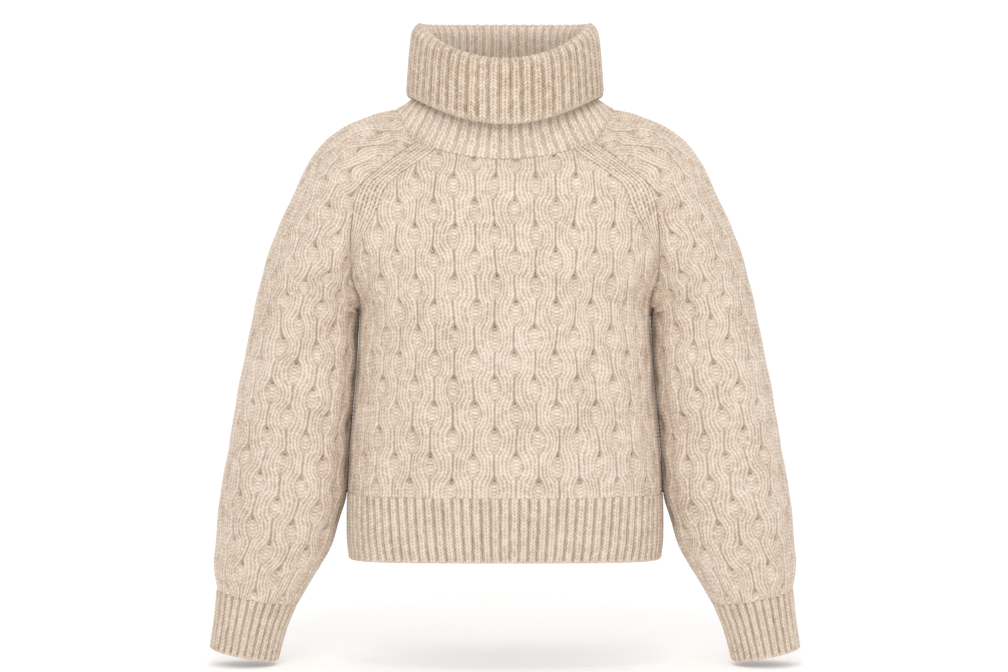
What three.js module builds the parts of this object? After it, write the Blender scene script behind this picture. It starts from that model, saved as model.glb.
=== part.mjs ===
import * as THREE from 'three';

// A cable knit sweater with raglan sleeves, rib hem and cuffs and a folded rib neck, filled out as if worn.
// Millimetres, +Z up. The front faces -Y and the wearer's left is +X.
// The origin is the middle of the neck opening, level with the shoulder, where the wearer holds the sweater up.

// The knit: a chunky wool. A wall is measured to the top of its cables or ribs.
const WALL = 7;
const RIB_WALL = 6;
const SEAM_GAP = 0.3;
const NECK_SEAM_GAP = 0.6;
// Past its outer line a seam opens a little more, so that two folded edges do not cross.
const SEAM_OPENING = 1;
const PIT_DEPTH = 4.2;
const BAND_MEETING_DEPTH = 1.5;
const EDGE_DEPTH = 0.9;
const RIB_DEPTH = 2.6;

// The honeycomb cable: eyes in columns half a repeat apart, every second column moved by half a repeat.
// A course is half a repeat tall, counted upwards. The hem rib starts a quarter course below the lowest eyes.
const BODY_COURSE = 28.3;
const LOWEST_EYES = -438;
const FIRST_COURSE = -0.25;
const HEM_RIB_TOP = LOWEST_EYES + BODY_COURSE * FIRST_COURSE;
const HEM_BOTTOM = -521;
// The hem's edge is a little higher in the middle of the front and back than at the sides.
const HEM_LIFT = 4;
const BODY_COLUMNS = 10.5;
// The columns are this much wider in the middle of a panel, and narrower at its sides.
const MIDDLE_SPREAD = 0.05;
const SLEEVE_COLUMNS = 9;
const SLEEVE_ROWS_PER_COURSE = 2;
const SLEEVE_ROWS = 48;
const CAP_ROWS = 22;
// The bands beside an eye bow away from it by this share of a column.
const BAND_BOW = 0.1;
const RAGLAN_BAND_COLUMNS = 1;

const HEM_RIBS = 45;
const CUFF_RIBS = 28;
const COLLAR_RIBS = 52;

// Cross-sections are superellipses: 2 is an ellipse, more is squarer.
const SECTION_POWER = 2.3;
const CURVE_STEPS = 48;
const STEP = 0.02;

// The body's outline, seen from the front and from the side, at each height.
const BODY = [
  { z: -521, halfWidth: 179, front: -115, back: 108 },
  { z: -497, halfWidth: 181.5, front: -117, back: 109 },
  { z: -445, halfWidth: 181, front: -117, back: 108 },
  { z: -405, halfWidth: 178.5, front: -116, back: 106 },
  { z: -374, halfWidth: 176, front: -114, back: 104 },
  { z: -339, halfWidth: 173, front: -112, back: 100 },
  { z: -299, halfWidth: 169.5, front: -110, back: 98 },
  { z: -255, halfWidth: 167, front: -111, back: 101 },
  { z: -239.9, halfWidth: 167, front: -112, back: 103 },
  { z: -197.5, halfWidth: 172, front: -113, back: 107 },
  { z: -141, halfWidth: 172, front: -110, back: 109 },
  { z: -98, halfWidth: 172, front: -101, back: 106 },
  { z: -75, halfWidth: 172, front: -90, back: 103 },
  { z: -66.5, halfWidth: 172, front: -85, back: 102 },
  { z: -42, halfWidth: 172, front: -80, back: 96 },
  { z: 0.7, halfWidth: 172, front: -80, back: 82 },
];

// The raglan seams from the underarm to the neckline, straight from point to point. centre is the height of the
// same row in the middle of the panel, turn is how far round a quarter of its section the row goes, in degrees.
// handle is the direction and length with which the sleeve leaves the seam.
const FRONT_RAGLAN = [
  { course: 7, sleeveRow: 22, x: 167, y: 0, z: -239.9, centre: -239.9, turn: 90, handle: [8, -93, 0] },
  { course: 8.5, sleeveRow: 17, x: 174, y: -46, z: -197.5, centre: -197.5, turn: 67, handle: [22, -57, -2] },
  { course: 10.5, sleeveRow: 12, x: 172, y: -75, z: -141, centre: -141, turn: 62, handle: [24, -30, 8] },
  { course: 12, sleeveRow: 8, x: 161, y: -85, z: -98.4, centre: -98.4, turn: 54, handle: [31, -6, 20] },
  { course: 12.5, sleeveRow: 5, x: 140, y: -79, z: -78, centre: -84.3, turn: 52, handle: [28, 2, 24] },
  { course: 13, sleeveRow: 3, x: 119, y: -66, z: -61, centre: -75, turn: 50, handle: [20, 8, 20] },
  { course: 13.5, sleeveRow: 0, x: 99, y: -50, z: -46, centre: -66.5, turn: 50, handle: [13, 12, 14] },
];
const BACK_RAGLAN = [
  { course: 7, sleeveRow: 22, x: 167, y: 0, z: -239.9, centre: -239.9, turn: 90, handle: [10, 93, 0] },
  { course: 8.5, sleeveRow: 17, x: 174, y: 50, z: -194, centre: -197.5, turn: 64, handle: [26, 54, -2] },
  { course: 10.5, sleeveRow: 12, x: 172, y: 82, z: -134, centre: -141, turn: 62, handle: [24, 26, 8] },
  { course: 12, sleeveRow: 8, x: 161, y: 91, z: -89, centre: -98.4, turn: 54, handle: [30, 4, 18] },
  { course: 13, sleeveRow: 5, x: 140, y: 86, z: -62, centre: -70, turn: 52, handle: [27, -1, 16] },
  { course: 14, sleeveRow: 3, x: 119, y: 74, z: -36, centre: -42, turn: 50, handle: [20, -6, 10] },
  { course: 15.5, sleeveRow: 0, x: 97, y: 56, z: -6, centre: 0.7, turn: 50, handle: [14, -12, -3] },
];
const UNDERARM_COURSE = 7;

// The sleeve's outer line, from the neckline over the shoulder to the cuff. reach is how squarely the sleeve
// turns there, towards the front and the back.
const OUTER_LINE = [
  { row: 0, x: 122, z: -5, reachFront: 26, reachBack: 28 },
  { row: 3, x: 151, z: -12, reachFront: 36, reachBack: 40 },
  { row: 5, x: 184, z: -26, reachFront: 43, reachBack: 48 },
  { row: 8, x: 217, z: -54, reachFront: 48, reachBack: 51 },
  { row: 12, x: 244, z: -105, reachFront: 58, reachBack: 60 },
  { row: 17, x: 268, z: -162, reachFront: 75, reachBack: 76 },
  { row: 22, x: 284, z: -220, reachFront: 93, reachBack: 93 },
  { row: 26.4, x: 295.5, z: -275, reachFront: 92, reachBack: 92 },
  { row: 30.7, x: 307, z: -330, reachFront: 92, reachBack: 92 },
  { row: 35, x: 315, z: -385, reachFront: 93, reachBack: 93 },
  { row: 40.4, x: 327, z: -454, reachFront: 94, reachBack: 94 },
  { row: 43.2, x: 329.5, z: -489, reachFront: 91, reachBack: 91 },
  { row: 45.8, x: 333, z: -523, reachFront: 84, reachBack: 84 },
  { row: 48, x: 329.5, z: -554, reachFront: 67, reachBack: 67 },
];
// The sleeve's inner line, beside the body, from the underarm down. forward is how far the arm hangs forward.
const INNER_LINE = [
  { row: 22, x: 167, z: -239.9, forward: 0 },
  { row: 24, x: 169, z: -268, forward: 1 },
  { row: 26.4, x: 170.4, z: -297, forward: 2 },
  { row: 30.7, x: 175, z: -352, forward: 4 },
  { row: 35, x: 179.4, z: -405, forward: 6 },
  { row: 38.6, x: 183.2, z: -450, forward: 8 },
  { row: 40.4, x: 189.5, z: -473, forward: 9 },
  { row: 43.2, x: 200, z: -508, forward: 11 },
  { row: 45.8, x: 219.5, z: -541, forward: 13 },
  { row: 48, x: 237.5, z: -572, forward: 15 },
];
// The cuff, from the sleeve's end to its edge, as shares of its height.
const CUFF = [
  { along: 0, outerX: 329.5, outerZ: -554, innerX: 237.5, innerZ: -572, reach: 67, forward: 15 },
  { along: 0.45, outerX: 332, outerZ: -583, innerX: 249, innerZ: -600, reach: 56, forward: 17 },
  { along: 1, outerX: 337, outerZ: -621, innerX: 259, innerZ: -637, reach: 51, forward: 20 },
];

// Soft folds: where each is, how deep, and how far it reaches along and around. A slant turns it. A fold fades
// out over this many columns beside a seam.
const FOLD_FADE = 2;
const SLEEVE_FOLDS = [
  { row: 25, column: -5.3, depth: 6, along: 1.3, around: 2.1, slant: 0.6 },
  { row: 28.5, column: 6.1, depth: 5, along: 1.5, around: 2, slant: -0.5 },
  { row: 33, column: -6.1, depth: 5, along: 1.4, around: 2.3, slant: 0.37 },
  { row: 37, column: 5.3, depth: 6, along: 1.6, around: 2.1, slant: -0.37 },
  { row: 42, column: -4.1, depth: 3.5, along: 1.5, around: 2, slant: 0.43 },
  { row: 44.5, column: 2.9, depth: 4, along: 1.3, around: 2.5, slant: -0.25 },
];
const FRONT_FOLDS = [
  { row: 7.6, column: 8.2, depth: 4, along: 0.7, around: 1.8, slant: 0.45 },
  { row: 7.2, column: -8.4, depth: 4.5, along: 0.7, around: 1.7, slant: -0.5 },
  { row: 3.4, column: 8.8, depth: 3, along: 0.8, around: 1.6, slant: 0.3 },
  { row: 4.1, column: -8.8, depth: 2.5, along: 0.8, around: 1.6, slant: -0.3 },
];
const BACK_FOLDS = [
  { row: 7.4, column: -8.2, depth: 4.5, along: 0.7, around: 1.8, slant: -0.4 },
  { row: 7.8, column: 8.4, depth: 4, along: 0.7, around: 1.7, slant: 0.5 },
  { row: 2.6, column: 0.8, depth: 4, along: 0.6, around: 4.5, slant: 0.05 },
  { row: 3.8, column: -1.6, depth: 3, along: 0.6, around: 3.6, slant: -0.08 },
];

// The collar's section, round from its seam up the inside, over the fold, down the outside and back up between
// the layers. Each ring has its half width, its depth to the front and back, and its heights there and at the
// side. A ridge stands out by ridge, sideways, or by lift at the top of the fold.
const COLLAR = [
  { name: 'inside low', halfWidth: 105, front: -78, back: 75, zFront: -47, zSide: -1, zBack: 14, ridge: -1.8 },
  { name: 'inside middle', halfWidth: 93, front: -73, back: 70, zFront: 2, zSide: 46, zBack: 61, ridge: -1.8 },
  { name: 'inside top', halfWidth: 90, front: -72, back: 69, zFront: 34, zSide: 82, zBack: 90.5, ridge: -1.8 },
  { name: 'fold', halfWidth: 97.5, front: -82, back: 78, zFront: 43, zSide: 92, zBack: 100.7, lift: 1.8 },
  { name: 'outside top', halfWidth: 105.5, front: -92, back: 88, zFront: 34, zSide: 82, zBack: 90.5, ridge: 2 },
  { name: 'outside edge', halfWidth: 112, front: -97, back: 93, zFront: -29, zSide: 9, zBack: 22, ridge: 2 },
  { name: 'lining edge', halfWidth: 106.5, front: -91.5, back: 87.5, zFront: -30, zSide: 8, zBack: 21 },
  { name: 'lining top', halfWidth: 101, front: -86, back: 82, zFront: 30, zSide: 78, zBack: 86.5 },
  { name: 'under fold', halfWidth: 98, front: -82, back: 78, zFront: 34, zSide: 82, zBack: 90.5 },
  { name: 'base top', halfWidth: 96.5, front: -79, back: 75.5, zFront: 28, zSide: 76, zBack: 84 },
  { name: 'base middle', halfWidth: 98, front: -79, back: 75.5, zFront: -8, zSide: 31, zBack: 46 },
  { name: 'base low', halfWidth: 102.5, front: -79.5, back: 76.5, zFront: -31, zSide: 9, zBack: 26, ridge: 1.8 },
  { name: 'base flare', halfWidth: 113, front: -83, back: 80, zFront: -52, zSide: -0.5, zBack: 11, ridge: 1.6 },
];
const HIDDEN_RING_POINTS = 52;
const COLLAR_SEAM_RISE = 2;

const WOOL = new THREE.MeshStandardMaterial({ color: 0xe3d3c1, roughness: 0.95, metalness: 0 });
const RIB_WOOL = new THREE.MeshStandardMaterial({ color: 0xe0cfbc, roughness: 0.95, metalness: 0 });

// Straight interpolation in a table, sorted by its key.
function between(table, key, at, read) {
  let low = 0;
  while (low < table.length - 2 && table[low + 1][key] < at) low += 1;
  const first = table[low];
  const second = table[low + 1];
  const share = THREE.MathUtils.clamp((at - first[key]) / (second[key] - first[key]), 0, 1);
  return THREE.MathUtils.lerp(read(first), read(second), share);
}

// The same with a smooth curve through the table's rows.
function smoothly(table, key, at, read) {
  const last = table.length - 1;
  let low = 0;
  while (low < last - 1 && table[low + 1][key] < at) low += 1;
  const slope = (i) => {
    const before = table[Math.max(i - 1, 0)];
    const after = table[Math.min(i + 1, last)];
    return (read(after) - read(before)) / (after[key] - before[key]);
  };
  const first = table[low];
  const second = table[low + 1];
  const span = second[key] - first[key];
  const t = THREE.MathUtils.clamp((at - first[key]) / span, 0, 1);
  const rise = 3 * t * t - 2 * t * t * t;
  const leave = t * (1 - t) * (1 - t) * span * slope(low);
  const arrive = t * t * (t - 1) * span * slope(low + 1);
  return THREE.MathUtils.lerp(read(first), read(second), rise) + leave + arrive;
}

// A closed wall built from rows of points. A row is a list of places along it, each with its point's number.
class Wall {
  constructor() {
    this.points = [];
    this.faces = [];
  }

  row(places) {
    return places.map(({ at, point }) => ({ at, id: this.points.push(point) - 1 }));
  }

  ring(places) {
    const row = this.row(places);
    return [...row, { at: 1, id: row[0].id }];
  }

  // Fills the strip between two rows, whatever number of points each has.
  zip(first, second) {
    let i = 0;
    let j = 0;
    while (i < first.length - 1 || j < second.length - 1) {
      const firstNext = i < first.length - 1 ? first[i].at + first[i + 1].at : Infinity;
      const secondNext = j < second.length - 1 ? second[j].at + second[j + 1].at : Infinity;
      if (firstNext <= secondNext) {
        this.faces.push([first[i].id, first[i + 1].id, second[j].id]);
        i += 1;
      } else {
        this.faces.push([first[i].id, second[j + 1].id, second[j].id]);
        j += 1;
      }
    }
  }

  zipAll(rows) {
    for (let i = 0; i < rows.length - 1; i += 1) this.zip(rows[i], rows[i + 1]);
  }

  volume() {
    const cross = new THREE.Vector3();
    return this.faces.reduce((sum, [a, b, c]) => {
      cross.crossVectors(this.points[b], this.points[c]);
      return sum + this.points[a].dot(cross) / 6;
    }, 0);
  }

  mesh(name, material, mirrored = false) {
    const positions = this.points.flatMap((p) => [mirrored ? -p.x : p.x, p.y, p.z]);
    const inward = this.volume() < 0;
    const faces = this.faces.map(([a, b, c]) => (inward !== mirrored ? [a, c, b] : [a, b, c]));
    const geometry = new THREE.BufferGeometry();
    geometry.setAttribute('position', new THREE.Float32BufferAttribute(positions, 3));
    geometry.setIndex(faces.flat());
    geometry.computeVertexNormals();
    const mesh = new THREE.Mesh(geometry, material);
    mesh.name = name;
    return mesh;
  }
}

// A sheet with an outer and an inner face, closed along its four edges. Rows run upwards, and each row has the
// number of its course and its list of places.
function sheetWall(outerRows, innerRows) {
  const wall = new Wall();
  const outer = outerRows.map(({ places }) => wall.row(places));
  const inner = innerRows.map(({ places }) => wall.row(places));
  wall.zipAll(outer);
  wall.zipAll([...inner].reverse());
  wall.zip(inner[0], outer[0]);
  wall.zip(outer.at(-1), inner.at(-1));
  const side = (rows, courses, end) => rows.map((row, i) => ({ at: courses[i].course, id: row.at(end).id }));
  wall.zip(side(inner, innerRows, -1), side(outer, outerRows, -1));
  wall.zip(side(outer, outerRows, 0), side(inner, innerRows, 0));
  return wall;
}

// How far a point of the honeycomb lies below the top of the cables.
function cableDepth(column, course) {
  const onEyeRow = Number.isInteger(course);
  const onEyeColumn = !Number.isInteger(column);
  if (!onEyeRow || !onEyeColumn) return 0;
  const isEye = Math.abs(column - 0.5 + course) % 2 === 1;
  return isEye ? PIT_DEPTH : BAND_MEETING_DEPTH;
}

// The sideways place of a band, which bows away from the eye beside it.
function bowed(column, course) {
  if (!Number.isInteger(course) || !Number.isInteger(column)) return column;
  const eyeOnRight = Math.abs(column + course) % 2 === 1;
  return column + (eyeOnRight ? -BAND_BOW : BAND_BOW);
}

function foldDepth(folds, row, column) {
  return folds.reduce((sum, fold) => {
    const across = (column - fold.column) / fold.around;
    const along = (row - fold.row - fold.slant * (column - fold.column)) / fold.along;
    return sum + fold.depth * Math.exp(-across * across - along * along);
  }, 0);
}

// The knit's columns between two ends: bands at whole numbers, and eyes between them on the eye rows.
function columnsBetween(start, end, course, margin) {
  const step = Number.isInteger(course) ? 0.5 : 1;
  const first = Math.ceil((start + margin) / step) * step;
  const columns = [];
  for (let column = first; column <= end - margin; column += step) columns.push(column);
  return columns;
}

// The seam between a panel and a sleeve: its point, the way through the wall, and the way across the seam.
const ARM_MIDDLE = new THREE.Vector3(122, 0, -120);
function seamPoint(knot) {
  return new THREE.Vector3(knot.x, knot.y, knot.z);
}
function seamFrame(raglan, i) {
  const point = seamPoint(raglan[i]);
  const along = seamPoint(raglan[Math.min(i + 1, raglan.length - 1)]).sub(seamPoint(raglan[Math.max(i - 1, 0)]));
  along.normalize();
  const out = point.clone().sub(ARM_MIDDLE);
  if (i === 0) {
    out.set(0.1, 0, -1);
    along.set(0, Math.sign(raglan[1].y), 0);
  }
  out.addScaledVector(along, -out.dot(along)).normalize();
  const across = new THREE.Vector3().crossVectors(along, out);
  if (across.x < 0) across.negate();
  return { point, out, across };
}
function seamAt(raglan, key, at) {
  const frames = raglan.map((knot, i) => ({ ...seamFrame(raglan, i), at: knot[key] }));
  if (frames[0].at > frames.at(-1).at) frames.reverse();
  const read = (part) => new THREE.Vector3(
    between(frames, 'at', at, (frame) => frame[part].x),
    between(frames, 'at', at, (frame) => frame[part].y),
    between(frames, 'at', at, (frame) => frame[part].z),
  );
  return { point: read('point'), out: read('out'), across: read('across') };
}
// Its points on the outer and inner face of the wall, on the panel's side (-1) or the sleeve's (1).
function seamEdge(raglan, key, at, side) {
  const { point, out, across } = seamAt(raglan, key, at);
  const outer = point.clone().addScaledVector(across, side * SEAM_GAP / 2);
  const inner = point.clone().addScaledVector(across, side * (SEAM_GAP / 2 + SEAM_OPENING));
  return { outer, inner: inner.addScaledVector(out, -WALL) };
}

// A front or back panel. facing is -1 for the front and 1 for the back.
function panelShape(raglan, facing) {
  const depthName = facing < 0 ? 'front' : 'back';
  const courseHeight = (course) => LOWEST_EYES + BODY_COURSE * course;
  const rowLine = (course) => {
    if (course <= UNDERARM_COURSE) {
      const z = courseHeight(course);
      return {
        seam: new THREE.Vector3(smoothly(BODY, 'z', z, (s) => s.halfWidth), 0, z),
        centre: new THREE.Vector3(0, smoothly(BODY, 'z', z, (s) => s[depthName]), z),
        turn: Math.PI / 2,
      };
    }
    const z = between(raglan, 'course', course, (knot) => knot.centre);
    const turn = between(raglan, 'course', course, (knot) => knot.turn);
    return {
      seam: seamAt(raglan, 'course', course).point,
      centre: new THREE.Vector3(0, smoothly(BODY, 'z', z, (s) => s[depthName]), z),
      turn: THREE.MathUtils.degToRad(turn),
    };
  };
  const pointAt = (course, share) => {
    const { seam, centre, turn } = rowLine(course);
    const angle = Math.abs(share) * turn;
    const power = 2 / SECTION_POWER;
    const across = Math.sin(angle) ** power / Math.sin(turn) ** power;
    const end = Math.max(Math.cos(turn), 0) ** power;
    const back = (1 - Math.max(Math.cos(angle), 0) ** power) / (1 - end);
    return new THREE.Vector3(
      Math.sign(share) * seam.x * across,
      centre.y + (seam.y - centre.y) * back,
      centre.z + (seam.z - centre.z) * across * across,
    );
  };
  const rowLength = (course) => {
    const places = [{ share: 0, length: 0 }];
    let before = pointAt(course, 0);
    for (let i = 1; i <= CURVE_STEPS; i += 1) {
      const share = (i / CURVE_STEPS) ** 1.2;
      const point = pointAt(course, share);
      places.push({ share, length: places.at(-1).length + point.distanceTo(before) });
      before = point;
    }
    return places;
  };
  const chestPitch = rowLength(UNDERARM_COURSE).at(-1).length / BODY_COLUMNS;
  const row = (course) => {
    const places = rowLength(course);
    const whole = places.at(-1).length;
    const end = course <= UNDERARM_COURSE ? BODY_COLUMNS : whole / chestPitch;
    const shareAt = (column) => {
      const part = Math.abs(column) / end;
      const length = part * (1 + MIDDLE_SPREAD * (1 - part * part)) * whole;
      return Math.sign(column) * between(places, 'length', length, (place) => place.share);
    };
    return { end, shareAt };
  };
  const outwardAt = (course, share) => {
    const across = pointAt(course, Math.min(share + STEP, 1)).sub(pointAt(course, Math.max(share - STEP, -1)));
    const up = pointAt(course + STEP, share).sub(pointAt(course - STEP, share));
    const out = new THREE.Vector3().crossVectors(across, up);
    if (course <= UNDERARM_COURSE) out.z = 0;
    out.normalize();
    return out.y * facing < 0 ? out.negate() : out;
  };
  return { pointAt, row, outwardAt };
}

// Both faces of a panel's row at its left and right ends.
function panelEnd(raglan, facing, shape, course, side) {
  if (course <= UNDERARM_COURSE - 0.25) {
    const point = shape.pointAt(course, side);
    point.y += facing * SEAM_GAP / 2;
    if (course === FIRST_COURSE) point.z += SEAM_GAP / 2;
    const inner = point.clone();
    inner.x -= side * WALL;
    return { outer: point, inner };
  }
  const edge = seamEdge(raglan, 'course', course, -1);
  for (const point of [edge.outer, edge.inner]) {
    point.x *= side;
    if (course <= UNDERARM_COURSE) point.y += facing * SEAM_GAP / 2;
  }
  return edge;
}

function panel(name, raglan, facing, folds) {
  const shape = panelShape(raglan, facing);
  const top = raglan.at(-1).course;
  const surfacePoint = (course, column, depth) => {
    const share = shape.row(course).shareAt(column);
    const out = shape.outwardAt(course, share);
    const fromSeam = THREE.MathUtils.smoothstep(shape.row(course).end - Math.abs(column), 0, FOLD_FADE);
    const fold = foldDepth(folds, course, column) * fromSeam;
    const point = shape.pointAt(course, share).addScaledVector(out, -depth - fold);
    if (course === FIRST_COURSE) point.z += SEAM_GAP / 2;
    return point;
  };
  const courses = [FIRST_COURSE];
  for (let course = 0; course <= top; course += 0.5) courses.push(course);
  const outerRows = courses.map((course) => {
    const { end } = shape.row(course);
    const places = [{ at: -end, point: panelEnd(raglan, facing, shape, course, -1).outer }];
    const aboveUnderarm = course > UNDERARM_COURSE;
    const margin = aboveUnderarm ? RAGLAN_BAND_COLUMNS + 0.3 : 0.3;
    const isEdgeRow = course === FIRST_COURSE || course === top;
    const band = aboveUnderarm ? [[end - RAGLAN_BAND_COLUMNS, EDGE_DEPTH * 2], [end - RAGLAN_BAND_COLUMNS / 2, 0]] : [];
    for (const [column, depth] of [...band].reverse()) {
      places.push({ at: -column, point: surfacePoint(course, -column, depth) });
    }
    for (const column of columnsBetween(-end, end, isEdgeRow ? 0.5 : course, margin)) {
      const depth = isEdgeRow ? EDGE_DEPTH : cableDepth(column, course);
      const at = isEdgeRow ? column : bowed(column, course);
      places.push({ at, point: surfacePoint(course, at, depth) });
    }
    for (const [column, depth] of band) places.push({ at: column, point: surfacePoint(course, column, depth) });
    places.push({ at: end, point: panelEnd(raglan, facing, shape, course, 1).outer });
    places.sort((a, b) => a.at - b.at);
    return { course, places };
  });
  const innerRows = [FIRST_COURSE, 1.5, 3.5, 5.5, ...raglan.map((knot) => knot.course)].map((course) => {
    const { end } = shape.row(course);
    const places = [{ at: -end, point: panelEnd(raglan, facing, shape, course, -1).inner }];
    const pieces = Math.round(end * 1.3);
    for (let i = 1; i < pieces; i += 1) {
      const column = (2 * i / pieces - 1) * end;
      places.push({ at: column, point: surfacePoint(course, column, WALL) });
    }
    places.push({ at: end, point: panelEnd(raglan, facing, shape, course, 1).inner });
    return { course, places };
  });
  return sheetWall(outerRows, innerRows).mesh(name, WOOL);
}

// The hem rib below a panel, in the same section.
function hemRib(name, facing) {
  const depthName = facing < 0 ? 'front' : 'back';
  const power = 2 / SECTION_POWER;
  const pointAt = (z, turn) => {
    const halfWidth = smoothly(BODY, 'z', z, (s) => s.halfWidth);
    const depth = smoothly(BODY, 'z', z, (s) => s[depthName]);
    const across = Math.abs(Math.sin(turn)) ** power * Math.sign(turn);
    const lift = HEM_LIFT * (HEM_RIB_TOP - z) / (HEM_RIB_TOP - HEM_BOTTOM) * Math.cos(turn) ** 2;
    return new THREE.Vector3(halfWidth * across, depth * Math.max(Math.cos(turn), 0) ** power, z + lift);
  };
  const turns = [];
  let length = 0;
  for (let i = -CURVE_STEPS; i <= CURVE_STEPS; i += 1) {
    const turn = Math.sign(i) * (Math.abs(i) / CURVE_STEPS) ** 1.1 * Math.PI / 2;
    if (i > -CURVE_STEPS) length += pointAt(HEM_RIB_TOP, turn).distanceTo(pointAt(HEM_RIB_TOP, turns.at(-1).turn));
    turns.push({ turn, length });
  }
  const place = (z, share, depth) => {
    const turn = between(turns, 'length', share * length, (t) => t.turn);
    const point = pointAt(z, turn);
    const before = pointAt(z, Math.max(turn - STEP, -Math.PI / 2));
    const after = pointAt(z, Math.min(turn + STEP, Math.PI / 2));
    const out = new THREE.Vector3(after.y - before.y, before.x - after.x, 0).normalize();
    if (out.y * facing < 0) out.negate();
    const atEnd = share === 0 || share === 1;
    if (atEnd) {
      out.set(share * 2 - 1, 0, 0);
      point.y += facing * SEAM_GAP / 2;
    }
    return point.addScaledVector(out, -depth);
  };
  const line = (z, pieces, depthAt) => Array.from({ length: pieces + 1 }, (_, i) => (
    { at: i / pieces, point: place(z, i / pieces, depthAt(i)) }
  ));
  const ribDepth = (extra) => (i) => (i % 2 === 1 ? extra : RIB_DEPTH + extra);
  const top = HEM_RIB_TOP - SEAM_GAP / 2;
  const outerRows = [
    { z: HEM_BOTTOM, depth: 1.5 },
    { z: HEM_BOTTOM + 9, depth: 0 },
    { z: top, depth: 0 },
  ].map(({ z, depth }) => ({ course: z, places: line(z, 2 * HEM_RIBS, ribDepth(depth)) }));
  const innerRows = [HEM_BOTTOM, top].map((z) => ({ course: z, places: line(z, 26, () => RIB_WALL) }));
  return sheetWall(outerRows, innerRows).mesh(name, RIB_WOOL);
}

function bezier(a, b, c, d, t) {
  return new THREE.CubicBezierCurve3(a, b, c, d).getPoint(t);
}

// The sleeve's row as two curves, from the outer line to the front (share -1) and to the back (share 1).
function sleevePoint(row, share) {
  const front = share < 0;
  const raglan = front ? FRONT_RAGLAN : BACK_RAGLAN;
  const facing = front ? -1 : 1;
  const forward = row <= CAP_ROWS ? 0 : smoothly(INNER_LINE, 'row', row, (s) => s.forward);
  const outer = new THREE.Vector3(
    smoothly(OUTER_LINE, 'row', row, (s) => s.x),
    -forward,
    smoothly(OUTER_LINE, 'row', row, (s) => s.z),
  );
  const reach = smoothly(OUTER_LINE, 'row', row, (s) => (front ? s.reachFront : s.reachBack));
  const outerHandle = outer.clone().add(new THREE.Vector3(0, facing * reach, 0));
  const end = new THREE.Vector3();
  const endHandle = new THREE.Vector3();
  if (row < CAP_ROWS) {
    const knots = [...raglan].reverse();
    end.copy(seamAt(raglan, 'sleeveRow', row).point);
    endHandle.set(...[0, 1, 2].map((axis) => between(knots, 'sleeveRow', row, (knot) => knot.handle[axis])));
    endHandle.add(end);
  } else {
    end.set(smoothly(INNER_LINE, 'row', row, (s) => s.x), -forward, smoothly(INNER_LINE, 'row', row, (s) => s.z));
    endHandle.copy(end).add(new THREE.Vector3(0, facing * reach, 0));
  }
  return bezier(outer, outerHandle, endHandle, end, Math.abs(share));
}

// The lengths along half a row, for placing columns at even distances.
function halfRow(pointAt, facing) {
  const places = [{ share: 0, length: 0 }];
  let before = pointAt(0);
  for (let i = 1; i <= CURVE_STEPS; i += 1) {
    const share = i / CURVE_STEPS;
    const point = pointAt(share * facing);
    places.push({ share, length: places.at(-1).length + point.distanceTo(before) });
    before = point;
  }
  return places;
}

// The direction along which a sleeve's ring faces, so that the wall's edges lie in the ring's plane.
function ringAxis(row) {
  const outer = sleevePoint(row, 0);
  const inner = sleevePoint(row, 1);
  return new THREE.Vector3(outer.z - inner.z, 0, inner.x - outer.x).normalize();
}

function sleeveOutward(row, share) {
  const low = Math.max(share - STEP, -1);
  const high = Math.min(share + STEP, 1);
  const across = sleevePoint(row, high).sub(sleevePoint(row, low));
  const along = sleevePoint(Math.min(row + STEP, SLEEVE_ROWS), share).sub(sleevePoint(Math.max(row - STEP, 0), share));
  const out = new THREE.Vector3().crossVectors(across, along);
  if (row >= CAP_ROWS) {
    const axis = ringAxis(row);
    out.addScaledVector(axis, -out.dot(axis));
  }
  const middle = row >= CAP_ROWS
    ? sleevePoint(row, 0).add(sleevePoint(row, 1)).multiplyScalar(0.5)
    : sleevePoint(row, -1).add(sleevePoint(row, 1)).multiplyScalar(0.5).lerp(ARM_MIDDLE, 0.6);
  out.normalize();
  return out.dot(sleevePoint(row, share).sub(middle)) < 0 ? out.negate() : out;
}

function sleeveEnd(row, facing) {
  if (row <= CAP_ROWS) {
    const edge = seamEdge(facing < 0 ? FRONT_RAGLAN : BACK_RAGLAN, 'sleeveRow', row, 1);
    if (row === CAP_ROWS) {
      edge.outer.y += facing * SEAM_GAP / 2;
      edge.inner.y += facing * SEAM_GAP / 2;
    }
    return edge;
  }
  const outer = sleevePoint(row, 1);
  const inner = outer.clone();
  const axis = ringAxis(row);
  inner.addScaledVector(new THREE.Vector3(-axis.z, 0, axis.x).normalize(), WALL);
  if (inner.x < outer.x) inner.sub(outer).negate().add(outer);
  outer.y += facing * SEAM_GAP / 2;
  inner.y += facing * SEAM_GAP / 2;
  return { outer, inner };
}

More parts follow.
